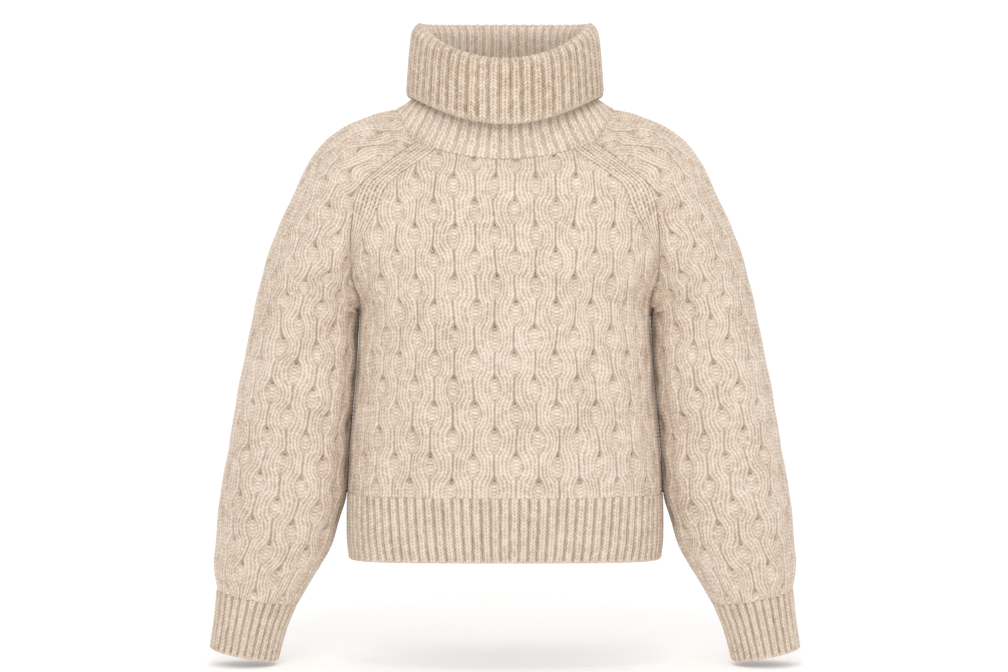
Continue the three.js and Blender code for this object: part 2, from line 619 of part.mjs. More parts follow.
function sleeve(name, mirrored) {
  const rowColumns = (row) => {
    const front = halfRow((share) => sleevePoint(row, share), -1);
    const back = halfRow((share) => sleevePoint(row, share), 1);
    const cuffward = row >= CAP_ROWS;
    const armPitch = halfRow((share) => sleevePoint(CAP_ROWS, share), 1).at(-1).length / SLEEVE_COLUMNS;
    const frontEnd = cuffward ? SLEEVE_COLUMNS : front.at(-1).length / armPitch;
    const backEnd = cuffward ? SLEEVE_COLUMNS : back.at(-1).length / armPitch;
    const shareAt = (column) => {
      const places = column < 0 ? front : back;
      const end = column < 0 ? frontEnd : backEnd;
      const length = Math.abs(column) / end * places.at(-1).length;
      return Math.sign(column) * between(places, 'length', length, (place) => place.share);
    };
    return { frontEnd, backEnd, shareAt };
  };
  const surfacePoint = (row, columns, column, depth) => {
    const share = columns.shareAt(column);
    const out = sleeveOutward(row, share);
    const isEndRow = row === 0 || row === SLEEVE_ROWS;
    const fold = isEndRow ? 0 : foldDepth(SLEEVE_FOLDS, row, column);
    return sleevePoint(row, share).addScaledVector(out, -depth - fold);
  };
  const outerRows = [];
  const innerRows = [];
  const innerAt = new Set([0, 3, 5, 8, 12, 17, 22, 26, 30, 34, 38, 42, 45, 48]);
  for (let row = SLEEVE_ROWS; row >= 0; row -= 1) {
    const columns = rowColumns(row);
    const { frontEnd, backEnd } = columns;
    const course = row / SLEEVE_ROWS_PER_COURSE;
    const isEdgeRow = row === 0 || row === SLEEVE_ROWS;
    const frontEdge = sleeveEnd(row, -1);
    const backEdge = sleeveEnd(row, 1);
    const places = [{ at: -frontEnd, point: frontEdge.outer }];
    for (const column of columnsBetween(-frontEnd, backEnd, isEdgeRow ? 0.5 : course, 0.35)) {
      const depth = isEdgeRow ? EDGE_DEPTH : cableDepth(column, course);
      const at = isEdgeRow ? column : bowed(column, course);
      places.push({ at, point: surfacePoint(row, columns, at, depth) });
    }
    places.push({ at: backEnd, point: backEdge.outer });
    outerRows.push({ course: -row, places });
    if (innerAt.has(row)) {
      const pieces = Math.max(Math.round((frontEnd + backEnd) * 0.65), 4);
      const innerPlaces = [{ at: -frontEnd, point: frontEdge.inner }];
      for (let i = 1; i < pieces; i += 1) {
        const column = THREE.MathUtils.lerp(-frontEnd, backEnd, i / pieces);
        innerPlaces.push({ at: column, point: surfacePoint(row, columns, column, WALL) });
      }
      innerPlaces.push({ at: backEnd, point: backEdge.inner });
      innerRows.push({ course: -row, places: innerPlaces });
    }
  }
  return sheetWall(outerRows, innerRows).mesh(name, WOOL, mirrored);
}

function cuff(name, mirrored) {
  const station = (along) => {
    const read = (part) => smoothly(CUFF, 'along', along, (s) => s[part]);
    const forward = read('forward');
    return {
      outer: new THREE.Vector3(read('outerX'), -forward, read('outerZ')),
      inner: new THREE.Vector3(read('innerX'), -forward, read('innerZ')),
      reach: read('reach'),
    };
  };
  const ringPoint = (along, share, depth) => {
    const { outer, inner, reach } = station(along);
    const axis = new THREE.Vector3(outer.z - inner.z, 0, inner.x - outer.x).normalize();
    const pointAt = (turn) => {
      const round = ((turn % 1) + 1) % 1;
      const facing = round <= 0.5 ? -1 : 1;
      const t = round <= 0.5 ? round * 2 : 2 - round * 2;
      const handle = new THREE.Vector3(0, facing * reach, 0);
      return bezier(outer, outer.clone().add(handle), inner.clone().add(handle), inner, t);
    };
    const point = pointAt(share);
    const tangent = pointAt(share + STEP / 4).sub(pointAt(share - STEP / 4));
    const out = new THREE.Vector3().crossVectors(tangent, axis).normalize();
    const middle = outer.clone().add(inner).multiplyScalar(0.5);
    if (out.dot(point.clone().sub(middle)) < 0) out.negate();
    point.addScaledVector(out, -depth);
    return along === 0 ? point.addScaledVector(axis, axis.z < 0 ? SEAM_GAP : -SEAM_GAP) : point;
  };
  const ring = (wall, along, pieces, depthAt) => wall.ring(Array.from({ length: pieces }, (_, i) => (
    { at: i / pieces, point: ringPoint(along, i / pieces, depthAt(i)) }
  )));
  const wall = new Wall();
  const ribDepth = (extra) => (i) => (i % 2 === 0 ? extra : RIB_DEPTH + extra);
  const outer = [[1, 1.2], [0.93, 0], [0.45, 0], [0, 0]].map(([along, depth]) => (
    ring(wall, along, 2 * CUFF_RIBS, ribDepth(depth))
  ));
  const inner = [1, 0.45, 0].map((along) => ring(wall, along, 18, () => RIB_WALL));
  wall.zipAll([...outer, ...inner.reverse(), outer[0]]);
  return wall.mesh(name, RIB_WOOL, mirrored);
}

// The neckline, round from the middle of the front over the left shoulder, the back and the right shoulder.
function necklinePoints() {
  const front = panelShape(FRONT_RAGLAN, -1);
  const back = panelShape(BACK_RAGLAN, 1);
  const frontTop = FRONT_RAGLAN.at(-1).course;
  const backTop = BACK_RAGLAN.at(-1).course;
  const half = [];
  for (let i = 0; i < CURVE_STEPS; i += 1) half.push(front.pointAt(frontTop, i / CURVE_STEPS));
  for (let i = 0; i < CURVE_STEPS; i += 1) half.push(sleevePoint(0, 2 * i / CURVE_STEPS - 1));
  for (let i = 0; i <= CURVE_STEPS; i += 1) half.push(back.pointAt(backTop, 1 - i / CURVE_STEPS));
  const other = half.slice(1, -1).reverse().map((p) => new THREE.Vector3(-p.x, p.y, p.z));
  return [...half, ...other, half[0].clone()];
}

function collarRingPoint(ring, turn) {
  const depth = Math.cos(turn) > 0 ? -ring.front : ring.back;
  const zEnd = Math.cos(turn) > 0 ? ring.zFront : ring.zBack;
  const toEnd = Math.cos(turn) ** 2;
  return new THREE.Vector3(
    ring.halfWidth * Math.sin(turn),
    -depth * Math.cos(turn),
    THREE.MathUtils.lerp(ring.zSide, zEnd, toEnd),
  );
}

// A closed line through points, read at even shares of its length.
function evenly(points) {
  const places = [{ index: 0, length: 0 }];
  for (let i = 1; i < points.length; i += 1) {
    places.push({ index: i, length: places[i - 1].length + points[i].distanceTo(points[i - 1]) });
  }
  const whole = places.at(-1).length;
  return (share) => {
    const index = between(places, 'length', share * whole, (place) => place.index);
    const low = Math.min(Math.floor(index), points.length - 2);
    return points[low].clone().lerp(points[low + 1], index - low);
  };
}

function collar() {
  const wall = new Wall();
  const steps = 4 * CURVE_STEPS;
  const ringLine = (ring) => evenly(Array.from({ length: steps + 1 }, (_, i) => (
    collarRingPoint(ring, 2 * Math.PI * i / steps)
  )));
  const neckline = evenly(necklinePoints());
  const outward = (lineAt, share) => {
    const before = lineAt((share - 0.004 + 1) % 1);
    const after = lineAt((share + 0.004) % 1);
    return new THREE.Vector3(before.y - after.y, after.x - before.x, 0).normalize().negate();
  };
  const ringPlaces = (lineAt, pieces, ridge, lift) => Array.from({ length: pieces }, (_, i) => {
    const share = i / pieces;
    const point = lineAt(share);
    if (i % 2 === 0) {
      point.addScaledVector(outward(lineAt, share), ridge);
      point.z += lift;
    }
    return { at: share, point };
  });
  const rows = COLLAR.map((ring) => {
    const ribbed = ring.ridge !== undefined || ring.lift !== undefined;
    const pieces = ribbed ? 2 * COLLAR_RIBS : HIDDEN_RING_POINTS;
    return wall.ring(ringPlaces(ringLine(ring), pieces, ring.ridge ?? 0, ring.lift ?? 0));
  });
  // The seam edge stands just above the neckline, with its inner side straight in from it.
  const seamOut = (share) => {
    const out = outward(neckline, share);
    return out.setZ(0.75).normalize();
  };
  const seamRow = (pieces, depthAt) => wall.ring(Array.from({ length: pieces }, (_, i) => {
    const share = i / pieces;
    const rise = new THREE.Vector3(0, 0, NECK_SEAM_GAP + COLLAR_SEAM_RISE);
    return { at: share, point: neckline(share).add(rise).addScaledVector(seamOut(share), -depthAt(i)) };
  }));
  const outerSeam = seamRow(2 * COLLAR_RIBS, (i) => (i % 2 === 0 ? 0 : 1.4));
  const innerSeam = seamRow(HIDDEN_RING_POINTS, () => RIB_WALL);
  wall.zipAll([innerSeam, ...rows, outerSeam, innerSeam]);
  return wall.mesh('collar', RIB_WOOL);
}

const sweater = new THREE.Group();
const body = new THREE.Group();
body.add(panel('front_panel', FRONT_RAGLAN, -1, FRONT_FOLDS));
body.add(panel('back_panel', BACK_RAGLAN, 1, BACK_FOLDS));
body.add(hemRib('front_hem_rib', -1));
body.add(hemRib('back_hem_rib', 1));
body.add(collar());
sweater.add(body);
for (const side of ['left', 'right']) {
  const arm = new THREE.Group();
  arm.add(sleeve(`${side}_sleeve`, side === 'right'));
  arm.add(cuff(`${side}_cuff`, side === 'right'));
  sweater.add(arm);
}

export default sweater;
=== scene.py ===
# %% [markdown]
# # A cable knit pullover, stitch by stitch
#
# The real thing is knitted wool: two body panels and two raglan sleeves in honeycomb cable, with ribs at the
# hem, cuffs and neck. The CAD model has the right shapes, thickness and seams, and coarse cables.
# Blender is here for what a CAD solid can't carry well: each knit stitch, the dark gaps between the strands,
# the soft wool and the light.
#
# We load the CAD model first.

import math

import bpy
import numpy as np
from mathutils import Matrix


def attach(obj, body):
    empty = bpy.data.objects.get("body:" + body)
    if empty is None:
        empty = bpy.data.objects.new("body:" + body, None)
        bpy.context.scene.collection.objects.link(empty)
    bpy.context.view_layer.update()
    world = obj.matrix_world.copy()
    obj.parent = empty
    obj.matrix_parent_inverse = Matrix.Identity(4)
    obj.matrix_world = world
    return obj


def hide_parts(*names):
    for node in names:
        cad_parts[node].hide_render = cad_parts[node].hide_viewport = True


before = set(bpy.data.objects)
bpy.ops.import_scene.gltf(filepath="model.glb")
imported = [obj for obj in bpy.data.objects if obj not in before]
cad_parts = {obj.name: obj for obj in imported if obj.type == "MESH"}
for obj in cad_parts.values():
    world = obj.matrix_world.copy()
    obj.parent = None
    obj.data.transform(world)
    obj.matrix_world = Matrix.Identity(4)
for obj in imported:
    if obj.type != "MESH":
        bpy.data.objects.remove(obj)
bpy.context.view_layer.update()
bpy.ops.object.select_all(action="DESELECT")

# %% [markdown]
# ## The camera, the floor and the light
#
# The photograph looks straight at the front from chest height, through a fairly long lens. The studio is a
# white sweep: a floor that curves up into a wall, so that no horizon shows. The light is broad and soft, and
# comes mostly from above, so that each eye of the honeycomb is darkest under its upper edge, where painted
# shade in the wool's colour adds to it.

# %% Camera
CAMERA_PLACE = (-0.00115, -2.75, -0.266)
LENS_MM = 85.4
bpy.ops.object.camera_add(location=CAMERA_PLACE, rotation=(math.radians(90), 0, 0))
camera = bpy.context.object
camera.data.lens = LENS_MM
camera.data.sensor_width = 36
bpy.context.scene.camera = camera
bpy.context.scene.view_settings.view_transform = "Standard"

# %% Floor and backdrop in one sweep
FLOOR_HEIGHT = -0.641
FLOOR_SIZE = 14
BACKDROP_PLACE = 4.8
BACKDROP_HEIGHT = 6
BACKLIGHT = 0.25
bpy.ops.mesh.primitive_plane_add(size=FLOOR_SIZE, location=(0, BACKDROP_PLACE - FLOOR_SIZE / 2, FLOOR_HEIGHT))
sweep = bpy.context.object
sweep.name = "studio_sweep"
bpy.ops.object.mode_set(mode="EDIT")
bpy.ops.mesh.select_all(action="DESELECT")
bpy.ops.object.mode_set(mode="OBJECT")
for edge in sweep.data.edges:
    edge.select = all(sweep.data.vertices[i].co.y > 0 for i in edge.vertices)
bpy.ops.object.mode_set(mode="EDIT")
bpy.ops.mesh.select_mode(type="EDGE")
bpy.ops.mesh.extrude_region_move(TRANSFORM_OT_translate={"value": (0, 0, BACKDROP_HEIGHT)})
bpy.ops.object.mode_set(mode="OBJECT")
bend = sweep.modifiers.new("curve of the sweep", "BEVEL")
bend.width = 1.2
bend.segments = 16
bpy.ops.object.modifier_apply(modifier=bend.name)
bpy.ops.object.shade_smooth()


# %% Colours and a helper for nodes
def linear(hex_colour):
    """An sRGB hex colour as linear red, green, blue and alpha."""
    parts = [int(hex_colour[i : i + 2], 16) / 255 for i in (1, 3, 5)]
    return [p / 12.92 if p <= 0.04045 else ((p + 0.055) / 1.055) ** 2.4 for p in parts] + [1.0]


def add_node(tree, kind, settings=None, **inputs):
    """Adds a node. An input is a value, or an output to link. A name like _1 is an input's number."""
    node = tree.nodes.new(kind)
    for name, value in (settings or {}).items():
        setattr(node, name, value)
    for name, value in inputs.items():
        socket = node.inputs[int(name[1:])] if name[0] == "_" else node.inputs[name.replace("_", " ")]
        if isinstance(value, bpy.types.NodeSocket):
            tree.links.new(value, socket)
        else:
            socket.default_value = value
    return node


def set_sockets(node, values):
    for name, value in values.items():
        node.inputs[name].default_value = value


paper = bpy.data.materials.new("matt_studio_paper")
paper.use_nodes = True
set_sockets(paper.node_tree.nodes["Principled BSDF"], {
    "Base Color": linear("#F7F7F7"), "Roughness": 0.9,
    "Emission Color": (1, 1, 1, 1), "Emission Strength": BACKLIGHT,
})
sweep.data.materials.append(paper)

# %% Lights
world = bpy.data.worlds.new("soft_studio")
bpy.context.scene.world = world
world.use_nodes = True
set_sockets(world.node_tree.nodes["Background"], {"Color": (1, 1, 1, 1), "Strength": 0.74})


def soft_light(name, place, aim, size, power):
    bpy.ops.object.light_add(type="AREA", location=place)
    light = bpy.context.object
    light.name = name
    light.data.shape = "DISK"
    light.data.size = size
    light.data.energy = power
    way = np.array(aim) - np.array(place)
    light.rotation_euler = (
        math.atan2(math.hypot(way[0], way[1]), -way[2]),
        0,
        math.atan2(way[1], way[0]) - math.pi / 2,
    )
    return light


soft_light("key_from_above", (-0.2, -2.6, 1.25), (0, 0, -0.25), 1.1, 18)
soft_light("into_the_neck", (0, -0.9, 1.1), (0, 0.08, 0.04), 0.3, 3)
soft_light("fill_from_right", (2.2, -1.8, 0.4), (0, 0, -0.3), 1.8, 3.6)
print("camera, sweep and lights are in")

# %% [markdown]
# ## The garment's shape, in millimetres
#
# A knitter works from a chart and a table of measurements. These tables are the ones that the CAD model was
# built from: the body's half width and depth at each height, the raglan seams, the sleeves' outer and inner
# lines, and the cuffs. The origin is the middle of the neck's base, and the front is towards minus Y.

# %% Sizes of the knit
MM = 0.001
WALL = 7
RIB_WALL = 6
SEAM_GAP = 0.3
NECK_SEAM_RISE = 2.6
SEAM_OPENING = 1
BODY_COURSE = 28.3
LOWEST_EYES = -438
FIRST_COURSE = -0.25
HEM_RIB_TOP = LOWEST_EYES + BODY_COURSE * FIRST_COURSE
HEM_BOTTOM = -521
HEM_LIFT = 4
BODY_COLUMNS = 10.5
MIDDLE_SPREAD = 0.05
SLEEVE_COLUMNS = 9
UNDERARM_COURSE = 7
CAP_ROWS = 22
SLEEVE_ROWS = 48
HEM_RIBS = 45
CUFF_RIBS = 28
COLLAR_RIBS = 52
KNIT_ROW = 4.04
SECTION_POWER = 2 / 2.3
STEP = 0.02

# Height, half width, depth of the front and of the back.
BODY = np.array([
    (-521, 179, -115, 108), (-497, 181.5, -117, 109), (-445, 181, -117, 108), (-405, 178.5, -116, 106),
    (-374, 176, -114, 104), (-339, 173, -112, 100), (-299, 169.5, -110, 98), (-255, 167, -111, 101),
    (-239.9, 167, -112, 103), (-197.5, 172, -113, 107), (-141, 172, -110, 109), (-98, 172, -101, 106),
    (-75, 172, -90, 103), (-66.5, 172, -85, 102), (-42, 172, -80, 96), (0.7, 172, -80, 82),
])

# Course, sleeve row, the seam's x, y and z, the height of the panel's middle there, how far the panel turns,
# and the way in which the sleeve leaves the seam.
FRONT_RAGLAN = np.array([
    (7, 22, 167, 0, -239.9, -239.9, 90, 8, -93, 0),
    (8.5, 17, 174, -46, -197.5, -197.5, 67, 22, -57, -2),
    (10.5, 12, 172, -75, -141, -141, 62, 24, -30, 8),
    (12, 8, 161, -85, -98.4, -98.4, 54, 31, -6, 20),
    (12.5, 5, 140, -79, -78, -84.3, 52, 28, 2, 24),
    (13, 3, 119, -66, -61, -75, 50, 20, 8, 20),
    (13.5, 0, 99, -50, -46, -66.5, 50, 13, 12, 14),
])
BACK_RAGLAN = np.array([
    (7, 22, 167, 0, -239.9, -239.9, 90, 10, 93, 0),
    (8.5, 17, 174, 50, -194, -197.5, 64, 26, 54, -2),
    (10.5, 12, 172, 82, -134, -141, 62, 24, 26, 8),
    (12, 8, 161, 91, -89, -98.4, 54, 30, 4, 18),
    (13, 5, 140, 86, -62, -70, 52, 27, -1, 16),
    (14, 3, 119, 74, -36, -42, 50, 20, -6, 10),
    (15.5, 0, 97, 56, -6, 0.7, 50, 14, -12, -3),
])
COURSE, SLEEVE_ROW, SEAM, CENTRE, TURN, HANDLE = 0, 1, slice(2, 5), 5, 6, slice(7, 10)

# Sleeve row, x, z, and how far the front and the back of the sleeve reach out from the outer line.
OUTER_LINE = np.array([
    (0, 122, -5, 26, 28), (3, 151, -12, 36, 40), (5, 184, -26, 43, 48), (8, 217, -54, 48, 51),
    (12, 244, -105, 58, 60), (17, 268, -162, 75, 76), (22, 284, -220, 93, 93), (26.4, 295.5, -275, 92, 92),
    (30.7, 307, -330, 92, 92), (35, 315, -385, 93, 93), (40.4, 327, -454, 94, 94),
    (43.2, 329.5, -489, 91, 91), (45.8, 333, -523, 84, 84), (48, 329.5, -554, 67, 67),
])
# Sleeve row, x, z, and how far the arm comes forward.
INNER_LINE = np.array([
    (22, 167, -239.9, 0), (24, 169, -268, 1), (26.4, 170.4, -297, 2), (30.7, 175, -352, 4),
    (35, 179.4, -405, 6), (38.6, 183.2, -450, 8), (40.4, 189.5, -473, 9), (43.2, 200, -508, 11),
    (45.8, 219.5, -541, 13), (48, 237.5, -572, 15),
])
# Share of the cuff's length, the outer line's x and z, the inner line's x and z, reach and forward.
CUFF = np.array([
    (0, 329.5, -554, 237.5, -572, 67, 15), (0.45, 332, -583, 249, -600, 56, 17),
    (1, 337, -621, 259, -637, 51, 20),
])

# The main creases: row or course, column, depth, reach along and around, and slant.
SLEEVE_FOLDS = (
    (25, -5.3, 6, 1.3, 2.1, 0.6), (28.5, 6.1, 5, 1.5, 2, -0.5), (33, -6.1, 5, 1.4, 2.3, 0.37),
    (37, 5.3, 6, 1.6, 2.1, -0.37), (42, -4.1, 3.5, 1.5, 2, 0.43), (44.5, 2.9, 4, 1.3, 2.5, -0.25),
)
FRONT_FOLDS = (
    (7.6, 8.2, 4, 0.7, 1.8, 0.45), (7.2, -8.4, 4.5, 0.7, 1.7, -0.5),
    (3.4, 8.8, 3, 0.8, 1.6, 0.3), (4.1, -8.8, 2.5, 0.8, 1.6, -0.3),
)
BACK_FOLDS = (
    (7.4, -8.2, 4.5, 0.7, 1.8, -0.4), (7.8, 8.4, 4, 0.7, 1.7, 0.5),
    (2.6, 0.8, 4, 0.6, 4.5, 0.05), (3.8, -1.6, 3, 0.6, 3.6, -0.08),
)
FOLD_FADE = 2


# %% Reading the tables
def straight(keys, values, at):
    """Straight interpolation in a table, for one column or several."""
    order = np.argsort(keys)
    if values.ndim == 1:
        return np.interp(at, keys[order], values[order])
    return np.stack([np.interp(at, keys[order], column) for column in values[order].T], axis=-1)


def smooth(keys, values, at):
    """The same with a smooth curve through the table's rows."""
    count = len(keys)
    after = np.minimum(np.arange(count) + 1, count - 1)
    before = np.maximum(np.arange(count) - 1, 0)
    stretch = (keys[after] - keys[before]).reshape((-1,) + (1,) * (values.ndim - 1))
    slopes = (values[after] - values[before]) / stretch
    at = np.asarray(at, float)
    low = np.clip(np.searchsorted(keys, at, side="left") - 1, 0, count - 2)
    span = keys[low + 1] - keys[low]
    t = np.clip((at - keys[low]) / span, 0, 1)
    extra = (1,) * (values.ndim - 1)
    t, span = t.reshape(t.shape + extra), span.reshape(span.shape + extra)
    rise = 3 * t**2 - 2 * t**3
    leave = t * (1 - t) ** 2 * span * slopes[low]
    arrive = t**2 * (t - 1) * span * slopes[low + 1]
    return values[low] * (1 - rise) + values[low + 1] * rise + leave + arrive


def ease(start, end, at):
    """Rises smoothly from 0 at start to 1 at end."""
    t = np.clip((at - start) / (end - start), 0, 1)
    return t * t * (3 - 2 * t)


def unit(vectors):
    return vectors / np.maximum(np.linalg.norm(vectors, axis=-1, keepdims=True), 1e-9)


def fold_depth(folds, row, column):
    """How far the creases push a point in."""
    depth = np.zeros(np.broadcast(row, column).shape)
    for fold_row, fold_column, deep, along, around, slant in folds:
        across = (column - fold_column) / around
        down = (row - fold_row - slant * (column - fold_column)) / along
        depth += deep * np.exp(-(across**2) - down**2)
    return depth


print("body from", BODY[0, 0], "to", BODY[-1, 0], "mm")


# %% [markdown]
# ## A sheet of knitting as a mesh
#
# Knitting is a grid: wales run up and rows run across. So a dense grid of points is the natural mesh for it,
# and no modelling operator gives such control of every stitch. Each piece is an outer grid with the stitches
# in it, a plain inner grid, and narrow rims that join them, so that the cloth has its real thickness. Each
# point also carries its wale and row number, which the wool material uses to draw the strands, how far it is
# purl, and low: how much shade is painted into its colour, most in the gaps.


# %% Gathering a piece of cloth
class Cloth:
    """Points and faces of one piece, gathered before they become a mesh."""

    def __init__(self):
        self.points = []
        self.purl = []
        # Painted shade for each point, put into the wool's colour: most in gaps and valleys.
        self.low = []
        self.count = 0
        self.faces = []
        self.knit = []

    def place(self, points, purl=0.0, low=0.0):
        """Adds points in any arrangement, and gives their numbers in the same one."""
        shape = points.shape[:-1]
        numbers = np.arange(self.count, self.count + int(np.prod(shape))).reshape(shape)
        self.points.append(points.reshape(-1, 3))
        self.purl.append(np.broadcast_to(purl, shape).reshape(-1))
        self.low.append(np.broadcast_to(low, shape).reshape(-1))
        self.count += numbers.size
        return numbers

    def fill(self, numbers, knit):
        """Fills a grid of points with faces. The first index runs up and the second to the right."""
        corners = [(slice(None, -1), slice(None, -1)), (slice(None, -1), slice(1, None)),
                   (slice(1, None), slice(1, None)), (slice(1, None), slice(None, -1))]
        self.faces.append(np.stack([numbers[c] for c in corners], axis=-1).reshape(-1, 4))
        self.knit.append(np.stack([knit[c] for c in corners], axis=-2).reshape(-1, 4, 2))

    def zip(self, first, second):
        """Joins two lines of points, whatever number each has. A line is numbers, places and knit places."""
        (a, at_a, knit_a), (b, at_b, knit_b) = first, second
        faces, knit = [], []
        i = j = 0
        while i < len(a) - 1 or j < len(b) - 1:
            next_a = at_a[i] + at_a[i + 1] if i < len(a) - 1 else math.inf
            next_b = at_b[j] + at_b[j + 1] if j < len(b) - 1 else math.inf
            if next_a <= next_b:
                faces.append((a[i], a[i + 1], b[j], b[j]))
                knit.append((knit_a[i], knit_a[i + 1], knit_b[j], knit_b[j]))
                i += 1
            else:
                faces.append((a[i], b[j + 1], b[j], b[j]))
                knit.append((knit_a[i], knit_b[j + 1], knit_b[j], knit_b[j]))
                j += 1
        self.faces.append(np.array(faces))
        self.knit.append(np.array(knit, float))

    def make(self, name, mirrored=False):
        """The finished mesh object, with flat faces dropped and the outside facing outwards."""
        points = np.concatenate(self.points) * MM
        faces = np.concatenate(self.faces)
        knit = np.concatenate(self.knit)
        keep = faces != np.roll(faces, -1, axis=1)
        whole = keep.sum(axis=1) >= 3
        faces, knit, keep = faces[whole], knit[whole], keep[whole]
        a, b, c, d = (points[faces[:, i]] for i in range(4))
        halves = [np.einsum("ij,ij->i", a, np.cross(b, c)), np.einsum("ij,ij->i", a, np.cross(c, d))]
        volume = (halves[0] + halves[1]).sum() / 6
        if mirrored:
            points = points * (-1, 1, 1)
        if (volume < 0) != mirrored:
            faces, knit, keep = faces[:, ::-1], knit[:, ::-1], keep[:, ::-1]
            keep = faces != np.roll(faces, -1, axis=1)
        used, corner_points = np.unique(faces[keep], return_inverse=True)
        totals = keep.sum(axis=1)
        mesh = bpy.data.meshes.new(name)
        mesh.vertices.add(len(used))
        mesh.vertices.foreach_set("co", points[used].ravel())
        mesh.loops.add(int(totals.sum()))
        mesh.loops.foreach_set("vertex_index", corner_points)
        mesh.polygons.add(len(totals))
        mesh.polygons.foreach_set("loop_start", np.concatenate([[0], np.cumsum(totals)[:-1]]))
        mesh.polygons.foreach_set("loop_total", totals)
        mesh.polygons.foreach_set("use_smooth", np.ones(len(totals), bool))
        mesh.update(calc_edges=True)
        mesh.uv_layers.new(name="knit").data.foreach_set("uv", knit[keep].ravel())
        # The attribute low carries each point's painted shade to the wool material.
        for label, parts in (("purl", self.purl), ("low", self.low)):
            layer = mesh.attributes.new(label, "FLOAT", "POINT")
            layer.data.foreach_set("value", np.concatenate(parts)[used].astype(np.float32))
        piece = bpy.data.objects.new(name, mesh)
        bpy.context.scene.collection.objects.link(piece)
        triangles = int((totals - 2).sum())
        print(f"{name}: {triangles} triangles, {abs(volume) * 1e6:.0f} cubic cm")
        return piece


def sides(numbers, across, along, knit):
    """The four edges of a grid: point numbers, places along the edge, and knit places."""
    return {
        "bottom": (numbers[0], across[0], knit[0]),
        "top": (numbers[-1], across[-1], knit[-1]),
        "left": (numbers[:, 0], along, knit[:, 0]),
        "right": (numbers[:, -1], along, knit[:, -1]),
    }


def join_walls(cloth, outer, inner):
    """Closes a sheet: the four edges of its outer grid are joined to those of its inner one."""
    for side in ("bottom", "right"):
        cloth.zip(inner[side], outer[side])
    for side in ("top", "left"):
        cloth.zip(outer[side], inner[side])


# %% [markdown]
# ## The honeycomb
#
# A honeycomb is two-stitch cables that swing apart and meet again. Where they part, an eye of purl stitches
# shows, and in the next course the eyes stand between the others. A column is one cable wide. Eyes lie at the
# half columns, and an eye is open where the course and the column add up to an odd number. Twelve steps to a
# column are enough for two wales of V stitches: each wale has two slanting legs with a dip between them.
# Where two cables meet, the gap between them is narrow and deep, and it shows as a row of dark dots. The
# dots, and the eyes' upper edges, also get painted shade in the wool's colour.

# %% How the cables rise and fall
COLUMN_STEPS = 12
EYE_WIDTH = 0.3
CLOSED_WIDTH = 0.018
EYE_REACH = 0.6, 0.56
EYE_ROUNDNESS = 0.55, 0.38
MEETING_DEPTH = 2
EYE_DEPTH = 1.4
UNDER_EDGE_DEPTH = 2
UNDER_EDGE = 0.42, 0.13
LEG_PROFILE = np.array((0, 0, -0.8, 0.35, -0.45, 0.35, -0.8, 0.35, -0.45, 0.35, -0.8, 0, 0))
WALE_MIDDLES = np.array((4, 4, 4, 4, 4, 4, 6, 8, 8, 8, 8, 8, 8))
CHEVRON = 0.4
STITCH_RISE = 0.42
PURL_RISE = 0.55
CROWN = 0.7
DRIFT_WAVES = 9
ROW_DRIFT = 0.6
WIDTH_DRIFT = 0.2
PLACE_DRIFT = 0.09
HEIGHT_DRIFT = 0.45
# Painted shade in the gaps where two cables meet, in dots along each gap.
GAP_DOT_PAINTED_SHADE = 0.42


def drift(across, along, seed):
    """Smooth unevenness of a hand-guided knit, the same on each run."""
    random = np.random.default_rng(seed)
    total = 0
    for _ in range(DRIFT_WAVES):
        turn, pace, phase = random.uniform((0, 0.7, 0), (math.pi, 2.6, 2 * math.pi))
        total = total + np.sin(pace * (math.cos(turn) * across + math.sin(turn) * along) + phase)
    return total / DRIFT_WAVES * 2


def openness(gap, course, upward):
    """How open the gap between two cables is, and how far above the eye's middle we are, in courses."""
    above = (np.mod(gap - 0.5 + course, 2) - 1) * upward
    part = np.minimum(np.abs(above) / np.where(above > 0, *EYE_REACH), 1)
    return ((1 + np.cos(np.pi * part)) / 2) ** np.where(above > 0, *EYE_ROUNDNESS), above


